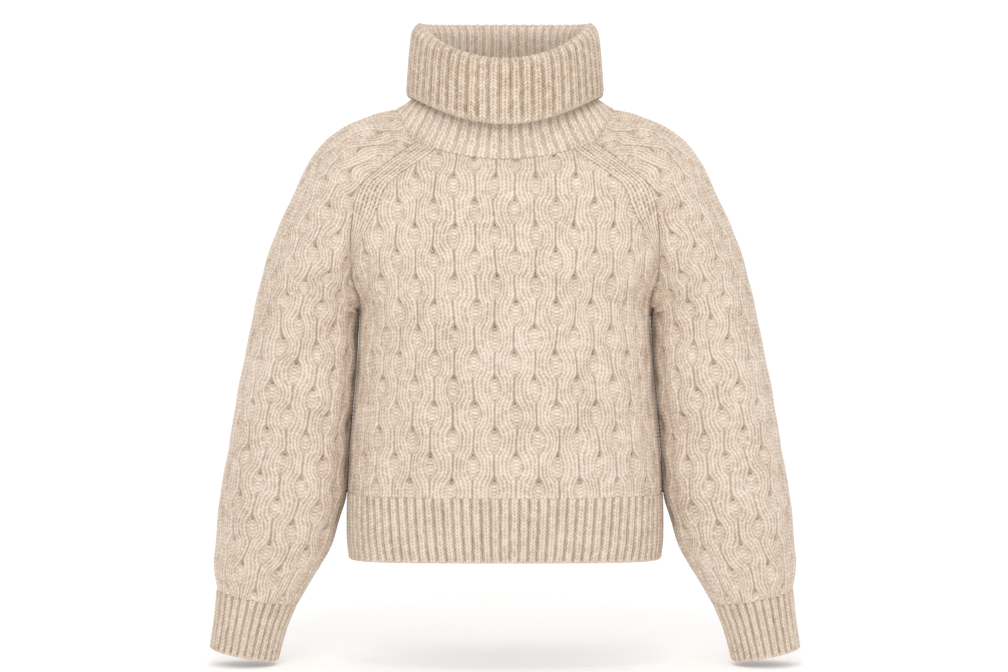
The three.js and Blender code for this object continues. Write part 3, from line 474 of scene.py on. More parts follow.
def honeycomb(course, first_band, last_band, upward, row, seed):
    """Sideways place, height, knit place, purl share and painted shade of each step, for each course."""
    steps = np.arange((last_band - first_band + 1) * COLUMN_STEPS + 1)
    cell = np.minimum(steps // COLUMN_STEPS, last_band - first_band)
    step = steps - cell * COLUMN_STEPS
    band = first_band + cell
    course = course[:, None]
    row = row[:, None] + ROW_DRIFT * drift(band, 0 * course, seed)
    left, above_left = openness(band - 0.5, course, upward)
    right, above_right = openness(band + 0.5, course, upward)
    width = EYE_WIDTH * (1 + WIDTH_DRIFT * drift(1.7 * band, 1.9 * course, seed + 1))
    left_half = CLOSED_WIDTH + (width - CLOSED_WIDTH) * left
    right_half = CLOSED_WIDTH + (width - CLOSED_WIDTH) * right
    column = (
        band - 0.5
        + left_half * np.minimum(step / 2, 1)
        + np.clip((step - 2) / 8, 0, 1) * (1 - left_half - right_half)
        + right_half * np.maximum(step - 10, 0) / 2
    )
    to_side = np.minimum(column - column[:, :1], column[:, -1:] - column)
    column = column + PLACE_DRIFT * drift(1.3 * column, 1.6 * course, seed + 2) * ease(0, 1.5, to_side)
    is_left = step < 6
    opened = np.where(is_left, left, right)
    above = np.where(is_left, above_left, above_right)
    in_gap = (step < 2) | (step > 10)
    under_edge = np.exp(-(((above - UNDER_EDGE[0]) / UNDER_EDGE[1]) ** 2))
    stitch = row - CHEVRON * np.abs(step - WALE_MIDDLES[step])
    purl_stitch = row + 0.5 * (step % 2)
    dots = np.cos(2 * np.pi * row)
    floor = -(MEETING_DEPTH + 0.5 * dots * (1 - opened) + EYE_DEPTH * opened + UNDER_EDGE_DEPTH * under_edge)
    floor = floor - PURL_RISE * opened * np.cos(2 * np.pi * purl_stitch)
    cable = (
        LEG_PROFILE[step]
        - CROWN * (np.abs(step - 6) / 4) ** 2.5
        - 0.6 * opened * ((step == 2) | (step == 10))
        - STITCH_RISE * np.cos(2 * np.pi * stitch)
    )
    height = np.where(in_gap, floor, cable) + HEIGHT_DRIFT * drift(column, course, seed + 3)
    knit = np.stack(np.broadcast_arrays(3 * cell + step / 4, row), axis=-1)
    purl = np.where(in_gap, opened, 0)
    # Painted shade in the gaps: dots where cables meet, a little in each eye, and most under each eye's upper
    # edge.
    low = np.where(in_gap, (GAP_DOT_PAINTED_SHADE + GAP_DOT_PAINTED_SHADE * dots) * (1 - opened) + 0.1 * opened + 0.6 * under_edge, 0)
    return column, height, knit, purl, low


print("a cable is", COLUMN_STEPS, "steps wide")


# %% [markdown]
# ## The front and back panels
#
# A panel is a tube's half up to the underarm. Above it, the panel narrows along the two raglan slopes, and a
# plain band of three wales runs along each slope, which hides the decreases on a real pullover. The cables
# are cut off at that band, so each row of the grid is gathered at the band's line. The band itself is its own
# narrow grid, because its rows follow the slope.

# %% The raglan seams
ARM_MIDDLE = np.array((122, 0, -120))


def on_seam(raglan, key, values, at):
    """Values of a seam's rows, read along one smooth curve whether the key is a course or a sleeve row."""
    course = at if key == COURSE else straight(raglan[:, key], raglan[:, COURSE], at)
    return smooth(raglan[:, COURSE], values, course)


def seam_edge(raglan, key, at, side):
    """The seam's points on the wall's outer and inner face, on the panel's side (-1) or the sleeve's (1)."""
    point = raglan[:, SEAM]
    last = len(point) - 1
    along = point[np.minimum(np.arange(last + 1) + 1, last)] - point[np.maximum(np.arange(last + 1) - 1, 0)]
    out = point - ARM_MIDDLE
    out[0] = (0.1, 0, -1)
    along[0] = (0, np.sign(raglan[1, 3]), 0)
    along = unit(along)
    out = unit(out - along * (out * along).sum(axis=1, keepdims=True))
    across = np.cross(along, out)
    across *= np.where(across[:, :1] < 0, -1, 1)
    here, way_out, way_across = (on_seam(raglan, key, part, at) for part in (point, out, across))
    outer = here + way_across * side * SEAM_GAP / 2
    inner = here + way_across * side * (SEAM_GAP / 2 + SEAM_OPENING) - way_out * WALL
    return outer, inner, way_out


# %% The panels' form
def panel_point(raglan, depths, course, share):
    """A point of the panel's form. The share runs from -1 at the right seam to 1 at the left one."""
    course, share = np.broadcast_arrays(np.asarray(course, float), np.asarray(share, float))
    below = course <= UNDERARM_COURSE
    z = LOWEST_EYES + BODY_COURSE * course
    centre_z = np.where(below, z, on_seam(raglan, COURSE, raglan[:, CENTRE], course))
    turn = np.radians(np.where(below, 90, on_seam(raglan, COURSE, raglan[:, TURN], course)))
    straight_side = np.stack([smooth(BODY[:, 0], BODY[:, 1], z), 0 * z, z], axis=-1)
    seam = np.where(below[..., None], straight_side, on_seam(raglan, COURSE, raglan[:, SEAM], course))
    centre_y = smooth(BODY[:, 0], depths, centre_z)
    angle = np.abs(share) * turn
    across = (np.sin(angle) / np.sin(turn)) ** SECTION_POWER
    end = np.maximum(np.cos(turn), 0) ** SECTION_POWER
    back = (1 - np.maximum(np.cos(angle), 0) ** SECTION_POWER) / (1 - end)
    return np.stack([
        np.sign(share) * seam[..., 0] * across,
        centre_y + (seam[..., 1] - centre_y) * back,
        centre_z + (seam[..., 2] - centre_z) * across**2,
    ], axis=-1)


def panel_out(raglan, depths, facing, course, share):
    """The way out of the panel's outer face."""
    course, share = np.broadcast_arrays(np.asarray(course, float), np.asarray(share, float))
    across = panel_point(raglan, depths, course, np.minimum(share + STEP, 1)) - panel_point(
        raglan, depths, course, np.maximum(share - STEP, -1)
    )
    up = panel_point(raglan, depths, course + STEP, share) - panel_point(raglan, depths, course - STEP, share)
    out = np.cross(across, up)
    out[..., 2] = np.where(course <= UNDERARM_COURSE, 0, out[..., 2])
    return unit(out) * np.where(out[..., 1:2] * facing < 0, -1, 1)


# %% Even columns along a row
LENGTH_STEPS = 64


def lengths_along(points):
    """How far each point of a line lies from its first one."""
    gaps = np.linalg.norm(np.diff(points, axis=-2), axis=-1)
    return np.concatenate([np.zeros(gaps.shape[:-1] + (1,)), np.cumsum(gaps, axis=-1)], axis=-1)


def share_at(column, end, lengths, shares):
    """The share of a row's form at each column, with the columns at even distances."""
    found = [
        np.interp(np.abs(c) / e * whole[-1], whole, shares)
        for c, e, whole in zip(column, end, lengths)
    ]
    return np.sign(column) * np.array(found)


# %% Making a panel
BODY_ROWS = 7
ROW_SAMPLES = 3
RAGLAN_BAND = 1.5
BAND_START = 1.2, 4.4
BAND_ROW = 5.4
BAND_STEPS = 12
BAND_PROFILE = np.array((-1.4, 0.4, -0.5, 0.4, -1, 0.4, -0.5, 0.4, -1, 0.4, -0.5, 0.3, -1.2))
# Painted shade in the band's valleys, given as dots along its rows.
BAND_PAINTED_SHADE = np.array((0.9, 0, 0.4, 0, 0.7, 0, 0.4, 0, 0.7, 0, 0.4, 0, 0.7))
EDGE_DEPTH = 0.6
SIDE_RISE = 0.3
INNER_COLUMNS = 44
LAP = 0.6

# How far the sleeve and the side press towards each other above the hem, and where.
TOUCH = 0.9
TOUCH_COURSE = 1.8
TOUCH_ROW = 38
TOUCH_REACH = 2.2


def knit_panel(name, raglan, facing, folds):
    depths = BODY[:, 2] if facing < 0 else BODY[:, 3]
    top = raglan[-1, COURSE]
    per_course = BODY_ROWS * ROW_SAMPLES
    lower_count = round((UNDERARM_COURSE - FIRST_COURSE) * per_course) + 1
    lower = np.linspace(FIRST_COURSE, UNDERARM_COURSE, lower_count)
    upper = np.linspace(UNDERARM_COURSE, top, round((top - UNDERARM_COURSE) * per_course) + 1)[1:]
    course = np.concatenate([lower, upper])
    underarm = len(lower) - 1
    shares = np.linspace(0, 1, LENGTH_STEPS + 1) ** 1.2
    chest_pitch = lengths_along(panel_point(raglan, depths, UNDERARM_COURSE, shares))[-1] / BODY_COLUMNS

    def row_ends(at):
        lengths = lengths_along(panel_point(raglan, depths, at[:, None], shares))
        return lengths, np.where(at <= UNDERARM_COURSE, BODY_COLUMNS, lengths[:, -1] / chest_pitch)

    def surface(at, column, height):
        lengths, end = row_ends(at)
        part = column / end[:, None]
        spread = column * (1 + MIDDLE_SPREAD * (1 - part**2))
        share = share_at(spread, end, lengths, shares)
        fold = fold_depth(folds, at[:, None], column) * ease(0, FOLD_FADE, end[:, None] - np.abs(column))
        out = panel_out(raglan, depths, facing, at[:, None], share)
        return panel_point(raglan, depths, at[:, None], share) + out * (height - fold)[..., None]

    def edges(at, side):
        below = (at <= UNDERARM_COURSE)[:, None]
        outer, inner, way_out = seam_edge(raglan, COURSE, at, -1)
        outer, inner, way_out = outer * (side, 1, 1), inner * (side, 1, 1), way_out * (side, 1, 1)
        plain = panel_point(raglan, depths, at, side) + (0, facing * SEAM_GAP / 2, 0)
        under = ease(UNDERARM_COURSE, UNDERARM_COURSE - 0.5, at)[:, None]
        rise = (SIDE_RISE + EDGE_DEPTH) * under - EDGE_DEPTH + TOUCH * ease(TOUCH_COURSE, 0, at)[:, None]
        outer = np.where(below, plain + np.array((side, 0, 0)) * rise, outer - way_out * EDGE_DEPTH)
        return outer, np.where(below, plain - np.array((side * WALL, 0, 0)), inner)

    cloth = Cloth()
    row = course * BODY_ROWS
    _, end = row_ends(course)
    band = RAGLAN_BAND * ease(*np.add(UNDERARM_COURSE, BAND_START), course)
    column, height, knit, purl, low = honeycomb(course, -10, 10, 1, row, 11 if facing < 0 else 23)
    line = (end - band)[:, None]
    cut = np.abs(column) > line - 0.03
    column = np.clip(column, -line, line)
    height = np.where(cut, -1.3, height)
    at_edge = (0.35 + 0.65 * ease(0, 0.16, course - FIRST_COURSE)) * ease(0, 0.25, top - course)
    height = -EDGE_DEPTH + (height + EDGE_DEPTH) * at_edge[:, None]
    points = surface(course, np.where(cut, np.sign(column) * line, column), height)
    middle = column.shape[1] // 2
    first = np.array([np.flatnonzero(c[:middle])[-1] for c in cut])
    last = np.array([middle + np.flatnonzero(c[middle:])[0] for c in cut])
    rows = np.arange(len(course))
    left_outer, _ = edges(course[: underarm + 1], -1)
    right_outer, _ = edges(course[: underarm + 1], 1)
    points[rows[: underarm + 1], first[: underarm + 1]] = left_outer
    points[rows[: underarm + 1], last[: underarm + 1]] = right_outer
    points[0, :, 2] -= LAP
    numbers = cloth.place(points, purl, low)
    steps = np.arange(column.shape[1])
    numbers = np.where(steps < first[:, None], numbers[rows, first][:, None], numbers)
    numbers = np.where(steps > last[:, None], numbers[rows, last][:, None], numbers)
    cloth.fill(numbers, knit)

    # The two raglan bands.
    fine = np.linspace(UNDERARM_COURSE, top, 400)
    along = lengths_along(on_seam(raglan, COURSE, raglan[:, SEAM], fine))
    count = round(along[-1] / KNIT_ROW * ROW_SAMPLES)
    seam_length = np.linspace(0, along[-1], count + 1)
    seam_course = np.interp(seam_length, along, fine)
    seam_course[-1] = top
    _, seam_end = row_ends(seam_course)
    seam_band = RAGLAN_BAND * ease(*np.add(UNDERARM_COURSE, BAND_START), seam_course)
    across = np.arange(BAND_STEPS + 1) / BAND_STEPS
    chains = {}
    for side in (-1, 1):
        place = side * (seam_end[:, None] - seam_band[:, None] * (1 - across))
        stitch = seam_length[:, None] / BAND_ROW - CHEVRON * np.abs(np.mod(np.arange(BAND_STEPS + 1), 4) - 2)
        rise = BAND_PROFILE - STITCH_RISE * np.cos(2 * np.pi * stitch)
        strong = ease(0, RAGLAN_BAND, seam_band)[:, None]
        rise = (rise + EDGE_DEPTH) * strong - EDGE_DEPTH
        strip = surface(seam_course, place, rise)
        strip[:, -1] = edges(seam_course, side)[0]
        # The band's valleys get their painted shade in dots, one to a row.
        dots = 0.5 + 0.5 * np.cos(2 * np.pi * stitch)
        strip_numbers = cloth.place(strip, 0.0, BAND_PAINTED_SHADE * strong**2 * dots)
        corner = first if side < 0 else last
        strip_numbers[0] = numbers[underarm, corner[underarm]]
        strip_knit = np.stack(
            np.broadcast_arrays((np.arange(BAND_STEPS + 1) - 2) / 4, seam_length[:, None] / BAND_ROW), axis=-1
        )
        joint_knit = strip_knit[:1, 0].repeat(len(upper) + 1, 0)
        joint = (numbers[rows, corner][underarm:], course[underarm:], joint_knit)
        own = (strip_numbers[:, 0], seam_course, strip_knit[:, 0])
        if side < 0:
            cloth.fill(strip_numbers[:, ::-1], strip_knit[:, ::-1])
            cloth.zip(joint, own)
        else:
            cloth.fill(strip_numbers, strip_knit)
            cloth.zip(own, joint)
        lower_knit = knit[rows, corner][:underarm]
        chains[side] = (
            np.concatenate([numbers[rows, corner][:underarm], strip_numbers[:, -1]]),
            np.concatenate([course[:underarm], seam_course]),
            np.concatenate([lower_knit, strip_knit[:, -1]]),
        )
        chains[side, "top"] = (strip_numbers[-1], place[-1], strip_knit[-1])

    # The plain inner wall and the rims.
    inner_lower = np.linspace(FIRST_COURSE, UNDERARM_COURSE, 16)
    inner_upper = np.linspace(UNDERARM_COURSE, top, round((top - UNDERARM_COURSE) * 3) + 1)[1:]
    inner_course = np.concatenate([inner_lower, inner_upper])
    _, inner_end = row_ends(inner_course)
    inner_column = np.linspace(-1, 1, INNER_COLUMNS + 1) * inner_end[:, None]
    inner_points = surface(inner_course, inner_column, np.full(inner_column.shape, -float(WALL)))
    inner_points[:, 0] = edges(inner_course, -1)[1]
    inner_points[:, -1] = edges(inner_course, 1)[1]
    inner_points[0, :, 2] += SEAM_GAP / 2
    inner_knit = np.stack(np.broadcast_arrays(inner_column * 3, (inner_course * BODY_ROWS)[:, None]), axis=-1)
    # The inner wall is purl, with some painted shade in its colour.
    inner_numbers = cloth.place(inner_points, 1.0, 0.5)
    cloth.fill(inner_numbers[::-1], inner_knit[::-1])
    span = slice(first[-1], last[-1] + 1)
    left_top, right_top = chains[-1, "top"], chains[1, "top"]
    top_line = tuple(
        np.concatenate([a[::-1], b[1:-1], c])
        for a, b, c in zip(left_top, (numbers[-1, span], column[-1, span], knit[-1, span]), right_top)
    )
    outer = {
        "bottom": (numbers[0], column[0], knit[0]), "top": top_line, "left": chains[-1], "right": chains[1],
    }
    join_walls(cloth, outer, sides(inner_numbers, inner_column, inner_course, inner_knit))
    return cloth.make(name)


front = knit_panel("front_panel_knit", FRONT_RAGLAN, -1, FRONT_FOLDS)
back = knit_panel("back_panel_knit", BACK_RAGLAN, 1, BACK_FOLDS)

# %% [markdown]
# ## The sleeves
#
# A sleeve is one sheet, closed under the arm, with smaller cables than the body's. Its rows are curves from
# the outer line, over the arm, to the seam. Above the underarm both ends of a row stop at the raglan seams,
# and the cables are cut off there. The right sleeve is the left one's mirror.


# %% The sleeves' form
JOIN_ROWS = 4


def sleeve_point(row, share):
    """A point of the left sleeve's form. The share runs from -1 at the front seam to 1 at the back one."""
    row, share = np.broadcast_arrays(np.asarray(row, float), np.asarray(share, float))
    front_side = share < 0
    forward = np.where(row <= CAP_ROWS, 0, smooth(INNER_LINE[:, 0], INNER_LINE[:, 3], row))
    line = smooth(OUTER_LINE[:, 0], OUTER_LINE[:, 1:], row)
    start = np.stack([line[..., 0], -forward, line[..., 1]], axis=-1)
    way = np.where(front_side, -line[..., 2], line[..., 3])
    sideways = np.stack([0 * way, way, 0 * way], axis=-1)
    low = smooth(INNER_LINE[:, 0], INNER_LINE[:, 1:3], row)
    low = np.stack([low[..., 0], -forward, low[..., 1]], axis=-1)
    seams = [on_seam(r, SLEEVE_ROW, r[:, SEAM], row) for r in (FRONT_RAGLAN, BACK_RAGLAN)]
    handles = [on_seam(r, SLEEVE_ROW, r[:, HANDLE], row) for r in (FRONT_RAGLAN, BACK_RAGLAN)]
    pick = front_side[..., None]
    in_cap = (row < CAP_ROWS)[..., None]
    end = np.where(in_cap, np.where(pick, *seams), low)
    seam_handle = np.where(pick, *handles)
    leaving = seam_handle * (1, 0, 0) * (1 - ease(CAP_ROWS, CAP_ROWS + JOIN_ROWS, row))[..., None]
    handle = np.where(in_cap, seam_handle, sideways + leaving)
    t = np.abs(share)[..., None]
    return (
        start * (1 - t) ** 3
        + (start + sideways) * 3 * t * (1 - t) ** 2
        + (end + handle) * 3 * t**2 * (1 - t)
        + end * t**3
    )


def ring_axis(row):
    """The way along the arm, at right angles to a row's ring."""
    gap = sleeve_point(row, 0 * row) - sleeve_point(row, 0 * row + 1)
    return unit(np.stack([gap[..., 2], 0 * gap[..., 0], -gap[..., 0]], axis=-1))


def sleeve_out(row, share):
    row, share = np.broadcast_arrays(np.asarray(row, float), np.asarray(share, float))
    across = sleeve_point(row, np.minimum(share + STEP, 1)) - sleeve_point(row, np.maximum(share - STEP, -1))
    lower, upper = np.minimum(row + STEP, SLEEVE_ROWS), np.maximum(row - STEP, 0)
    along = sleeve_point(lower, share) - sleeve_point(upper, share)
    out = np.cross(across, along)
    axis = ring_axis(row)
    in_arm = (row >= CAP_ROWS)[..., None]
    level = ease(CAP_ROWS - JOIN_ROWS, CAP_ROWS, row)[..., None]
    out = unit(out - axis * (out * axis).sum(axis=-1, keepdims=True) * level)
    ends = sleeve_point(row, 0 * share - 1) + sleeve_point(row, 0 * share + 1)
    arm_middle = (sleeve_point(row, 0 * share) + sleeve_point(row, 0 * share + 1)) / 2
    cap_middle = ends / 2 * 0.4 + ARM_MIDDLE * 0.6
    from_middle = sleeve_point(row, share) - np.where(in_arm, arm_middle, cap_middle)
    return out * np.where((out * from_middle).sum(axis=-1, keepdims=True) < 0, -1, 1)


# %% Making a sleeve
SLEEVE_SAMPLES = 9
SLEEVE_KNIT_ROWS = 3


def knit_sleeve(name, mirrored):
    arm_rows = np.linspace(SLEEVE_ROWS, CAP_ROWS, (SLEEVE_ROWS - CAP_ROWS) * SLEEVE_SAMPLES + 1)
    cap_rows = np.linspace(CAP_ROWS, 0, CAP_ROWS * SLEEVE_SAMPLES + 1)[1:]
    row = np.concatenate([arm_rows, cap_rows])
    shares = np.linspace(0, 1, LENGTH_STEPS + 1)
    arm_pitch = lengths_along(sleeve_point(float(CAP_ROWS), shares))[-1] / SLEEVE_COLUMNS

    def row_ends(at):
        off_line = np.maximum(shares, 1e-6)
        lengths = [lengths_along(sleeve_point(at[:, None], side * off_line)) for side in (-1, 1)]
        in_arm = at >= CAP_ROWS
        return lengths, [np.where(in_arm, SLEEVE_COLUMNS, whole[:, -1] / arm_pitch) for whole in lengths]

    def surface(at, column, height):
        lengths, ends = row_ends(at)
        by_side = [share_at(column, end, whole, shares) for end, whole in zip(ends, lengths)]
        share = np.where(column < 0, *by_side)
        fold = fold_depth(SLEEVE_FOLDS, at[:, None], column) * ease(0, 1, SLEEVE_ROWS - at)[:, None]
        fold = fold * ease(0, 1, at)[:, None]
        out = sleeve_out(at[:, None], share)
        return sleeve_point(at[:, None], share) + out * (height - fold)[..., None]

    def edges(at, facing):
        raglan = FRONT_RAGLAN if facing < 0 else BACK_RAGLAN
        outer, inner, way_out = seam_edge(raglan, SLEEVE_ROW, at, 1)
        plain = sleeve_point(at, 0 * at + 1)
        axis = ring_axis(at)
        inward = unit(np.stack([-axis[:, 2], 0 * at, axis[:, 0]], axis=-1))
        inward = inward * np.where(inward[:, :1] < 0, -1, 1)
        gap = np.array((0, facing * SEAM_GAP / 2, 0))
        in_arm = (at >= CAP_ROWS)[:, None]
        under = ease(CAP_ROWS, CAP_ROWS + 1, at)[:, None]
        touch = TOUCH * np.exp(-(((at - TOUCH_ROW) / TOUCH_REACH) ** 2))[:, None]
        rise = (SIDE_RISE + EDGE_DEPTH) * under - EDGE_DEPTH + touch
        outer = np.where(in_arm, plain - inward * rise + gap, outer - way_out * EDGE_DEPTH)
        return outer, np.where(in_arm, plain + inward * WALL + gap, inner)

    cloth = Cloth()
    _, (front_end, back_end) = row_ends(row)
    column, height, knit, purl, low = (
        part[:, COLUMN_STEPS // 2 : -COLUMN_STEPS // 2]
        for part in honeycomb(
            row / 2, -SLEEVE_COLUMNS, SLEEVE_COLUMNS, -1, (SLEEVE_ROWS - row) * SLEEVE_KNIT_ROWS, 37
        )
    )
    ends = np.stack([-front_end, back_end], axis=-1)
    cut = (column < ends[:, :1] + 0.04) | (column > ends[:, 1:] - 0.04)
    cut[:, [0, -1]] = True
    column = np.where(cut, np.where(column < 0, ends[:, :1], ends[:, 1:]), column)
    at_edge = (0.35 + 0.65 * ease(0, 0.5, SLEEVE_ROWS - row)) * ease(0, 0.6, row)
    height = -EDGE_DEPTH + (np.where(cut, -EDGE_DEPTH, height) + EDGE_DEPTH) * at_edge[:, None]
    points = surface(row, column, height)
    middle = column.shape[1] // 2
    first = np.array([np.flatnonzero(c[:middle])[-1] for c in cut])
    last = np.array([middle + np.flatnonzero(c[middle:])[0] for c in cut])
    rows = np.arange(len(row))
    points[rows, first] = edges(row, -1)[0]
    points[rows, last] = edges(row, 1)[0]
    points[0] += ring_axis(row[:1]) * np.where(ring_axis(row[:1])[:, 2:] < 0, LAP, -LAP)
    numbers = cloth.place(points, purl, low)
    steps = np.arange(column.shape[1])
    numbers = np.where(steps < first[:, None], numbers[rows, first][:, None], numbers)
    numbers = np.where(steps > last[:, None], numbers[rows, last][:, None], numbers)
    cloth.fill(numbers, knit)

    inner_row = np.linspace(SLEEVE_ROWS, 0, SLEEVE_ROWS + 1)
    _, (inner_front, inner_back) = row_ends(inner_row)
    share = np.linspace(0, 1, 33)
    inner_column = -inner_front[:, None] + (inner_front + inner_back)[:, None] * share
    inner_points = surface(inner_row, inner_column, np.full(inner_column.shape, -float(WALL)))
    inner_points[:, 0] = edges(inner_row, -1)[1]
    inner_points[:, -1] = edges(inner_row, 1)[1]
    inner_rows = (inner_row * SLEEVE_KNIT_ROWS)[:, None]
    inner_knit = np.stack(np.broadcast_arrays(inner_column * 3, inner_rows), axis=-1)
    # The inner wall is purl, with some painted shade in its colour.
    inner_numbers = cloth.place(inner_points, 1.0, 0.5)
    cloth.fill(inner_numbers[::-1], inner_knit[::-1])
    top = slice(first[-1], last[-1] + 1)
    own_knit = knit[rows, first], knit[rows, last]
    outer = {
        "bottom": (numbers[0], column[0], knit[0]),
        "top": (numbers[-1, top], column[-1, top], knit[-1, top]),
        "left": (numbers[rows, first], -row, own_knit[0]),
        "right": (numbers[rows, last], -row, own_knit[1]),
    }
    join_walls(cloth, outer, sides(inner_numbers, inner_column, -inner_row, inner_knit))
    return cloth.make(name, mirrored)


left_sleeve = knit_sleeve("left_sleeve_knit", False)
right_sleeve = knit_sleeve("right_sleeve_knit", True)

# %% [markdown]
# ## The ribs
#
# A 1x1 rib has one wale of knit stitches, then one of purl stitches, which sinks between its neighbours. Six
# steps across are enough: a sunk valley with shade painted into its colour, then two legs with a dip between
# them. The hem is knitted on below each panel, each cuff is a tube, and the collar is a tube that is folded
# down once on the outside.

# %% Ribs across a row
RIB_STEPS = 6
RIB_DEPTH = 3
RIB_PROFILE = np.array((-1.0, -0.48, 0.03, -0.08, 0.03, -0.48))
RIB_KNIT = np.array((-1, -0.5, -0.25, 0, 0.25, 0.5))
RIB_PLACES = np.array((0, 0.15, 0.31, 0.5, 0.69, 0.85))
# Painted shade at each step, darkest in the purl valley.
RIB_PAINTED_SHADE = np.array((1, 0.25, 0, 0, 0, 0.25))
RIB_RISE = 0.3
JOINT_TURN = 0.1, 0.6


def ribs(count, row):
    """Height, knit place, purl share and painted shade of each step, for each row."""
    steps = np.arange(count * RIB_STEPS + 1)
    step, rib = steps % RIB_STEPS, steps // RIB_STEPS
    stitch = row[:, None] - CHEVRON * np.abs(step - 3)
    purl_stitch = row[:, None] + 0.5
    rise = -np.where(step == 0, np.cos(2 * np.pi * purl_stitch), np.cos(2 * np.pi * stitch)) * RIB_RISE
    height = RIB_DEPTH * RIB_PROFILE[step] + rise
    knit = np.stack(np.broadcast_arrays(2 * rib + RIB_KNIT[step], row[:, None]), axis=-1)
    purl = np.broadcast_to(step == 0, height.shape).astype(float)
    # Painted shade, darkest in the purl valley.
    low = np.broadcast_to(RIB_PAINTED_SHADE[step], height.shape)
    return height, knit, purl, low


def rib_shares(count):
    """The share of a row's length at each step, with the valleys narrower than the ribs."""
    steps = np.arange(count * RIB_STEPS + 1)
    return (steps // RIB_STEPS + RIB_PLACES[steps % RIB_STEPS]) / count


def rolled_rows(roll, last, length):
    """Rows from a rolled edge to a joint: their places, the turn inwards and the strength of the ribs."""
    roll = np.array(roll)
    count = round(length / KNIT_ROW * ROW_SAMPLES) + 1
    place = np.concatenate([roll[:-1, 0], np.linspace(roll[-1, 0], last, count)])
    turned_in = np.concatenate([roll[:-1, 1], np.zeros(count)])
    turned_in[-2:] = JOINT_TURN
    return place, turned_in, np.concatenate([roll[:-1, 2], np.ones(count)])


# %% The hem
HEM_ROLL = ((0, 2.6, 0.1), (0.3, 1.4, 0.1), (1.0, 0.6, 0.15), (2.2, 0.1, 0.3), (3.6, 0, 0.75))
HEM_FADE = 0.9, 0.75, 0.5
HEM_LEAN = 0.012


def knit_hem(name, facing):
    depths = BODY[:, 2] if facing < 0 else BODY[:, 3]

    def form(z, turn):
        z, turn = np.broadcast_arrays(z, turn)
        across = np.abs(np.sin(turn)) ** SECTION_POWER * np.sign(turn)
        outward = smooth(BODY[:, 0], depths, z) * np.maximum(np.cos(turn), 0) ** SECTION_POWER
        lift = HEM_LIFT * (HEM_RIB_TOP - z) / (HEM_RIB_TOP - HEM_BOTTOM) * np.cos(turn) ** 2
        return np.stack([smooth(BODY[:, 0], BODY[:, 1], z) * across, outward, z + lift], axis=-1)

    share = np.linspace(-1, 1, 2 * LENGTH_STEPS + 1)
    turns = np.sign(share) * np.abs(share) ** 1.1 * math.pi / 2
    length = lengths_along(form(float(HEM_RIB_TOP), turns))

    def surface(z, share, depth):
        z = z[:, None]
        down = (HEM_RIB_TOP - z) / (HEM_RIB_TOP - HEM_BOTTOM)
        share = share + HEM_LEAN * np.sin(2 * np.pi * share) * down
        turn = np.interp(share * length[-1], length, turns)
        limit = math.pi / 2
        before, after = form(z, np.maximum(turn - STEP, -limit)), form(z, np.minimum(turn + STEP, limit))
        out = np.stack([after[..., 1] - before[..., 1], before[..., 0] - after[..., 0], 0 * turn], axis=-1)
        out = unit(out) * np.where(out[..., 1:2] * facing < 0, -1, 1)
        out[:, 0], out[:, -1] = (-1, 0, 0), (1, 0, 0)
        points = form(z, turn)
        points[:, [0, -1], 1] += facing * SEAM_GAP / 2
        return points - out * depth[..., None]

    top = HEM_RIB_TOP - SEAM_GAP / 2
    hem_height = top - HEM_BOTTOM
    rise, turned_in, strength = rolled_rows(HEM_ROLL, hem_height, hem_height - HEM_ROLL[-1][0])
    strength[-3:] = HEM_FADE
    z = HEM_BOTTOM + rise
    row = rise / KNIT_ROW
    height, knit, purl, low = ribs(HEM_RIBS, row)
    cloth = Cloth()
    outer_share = rib_shares(HEM_RIBS)
    points = surface(z, outer_share, turned_in[:, None] - height * strength[:, None])
    numbers = cloth.place(points, purl, low * strength[:, None])
    cloth.fill(numbers, knit)
    inner_z = np.concatenate([[HEM_BOTTOM + 0.7, HEM_BOTTOM + 2], np.linspace(HEM_BOTTOM + 4, top, 9)])
    inner_depth = np.full(11, float(RIB_WALL))
    inner_depth[0] = RIB_WALL - 0.9
    inner_share = np.linspace(0, 1, 45)
    inner_points = surface(inner_z, inner_share, inner_depth[:, None] + 0 * inner_share)
    inner_row = (inner_z - HEM_BOTTOM) / KNIT_ROW
    inner_knit = np.stack(np.broadcast_arrays(2 * HEM_RIBS * inner_share, inner_row[:, None]), axis=-1)
    # The inner wall gets some painted shade in its colour.
    inner_numbers = cloth.place(inner_points, 0.0, 0.5)
    cloth.fill(inner_numbers[::-1], inner_knit[::-1])
    outer_wall = sides(numbers, [outer_share] * 2, z, knit)
    join_walls(cloth, outer_wall, sides(inner_numbers, [inner_share] * 2, inner_z, inner_knit))
    return cloth.make(name)


front_hem = knit_hem("front_hem_rib_knit", -1)
back_hem = knit_hem("back_hem_rib_knit", 1)

# %% The cuffs
CUFF_LENGTH = 67
CUFF_ROLL = ((1, 2.6, 0.1), (0.995, 1.4, 0.1), (0.985, 0.6, 0.15), (0.965, 0.1, 0.3), (0.945, 0, 0.75))


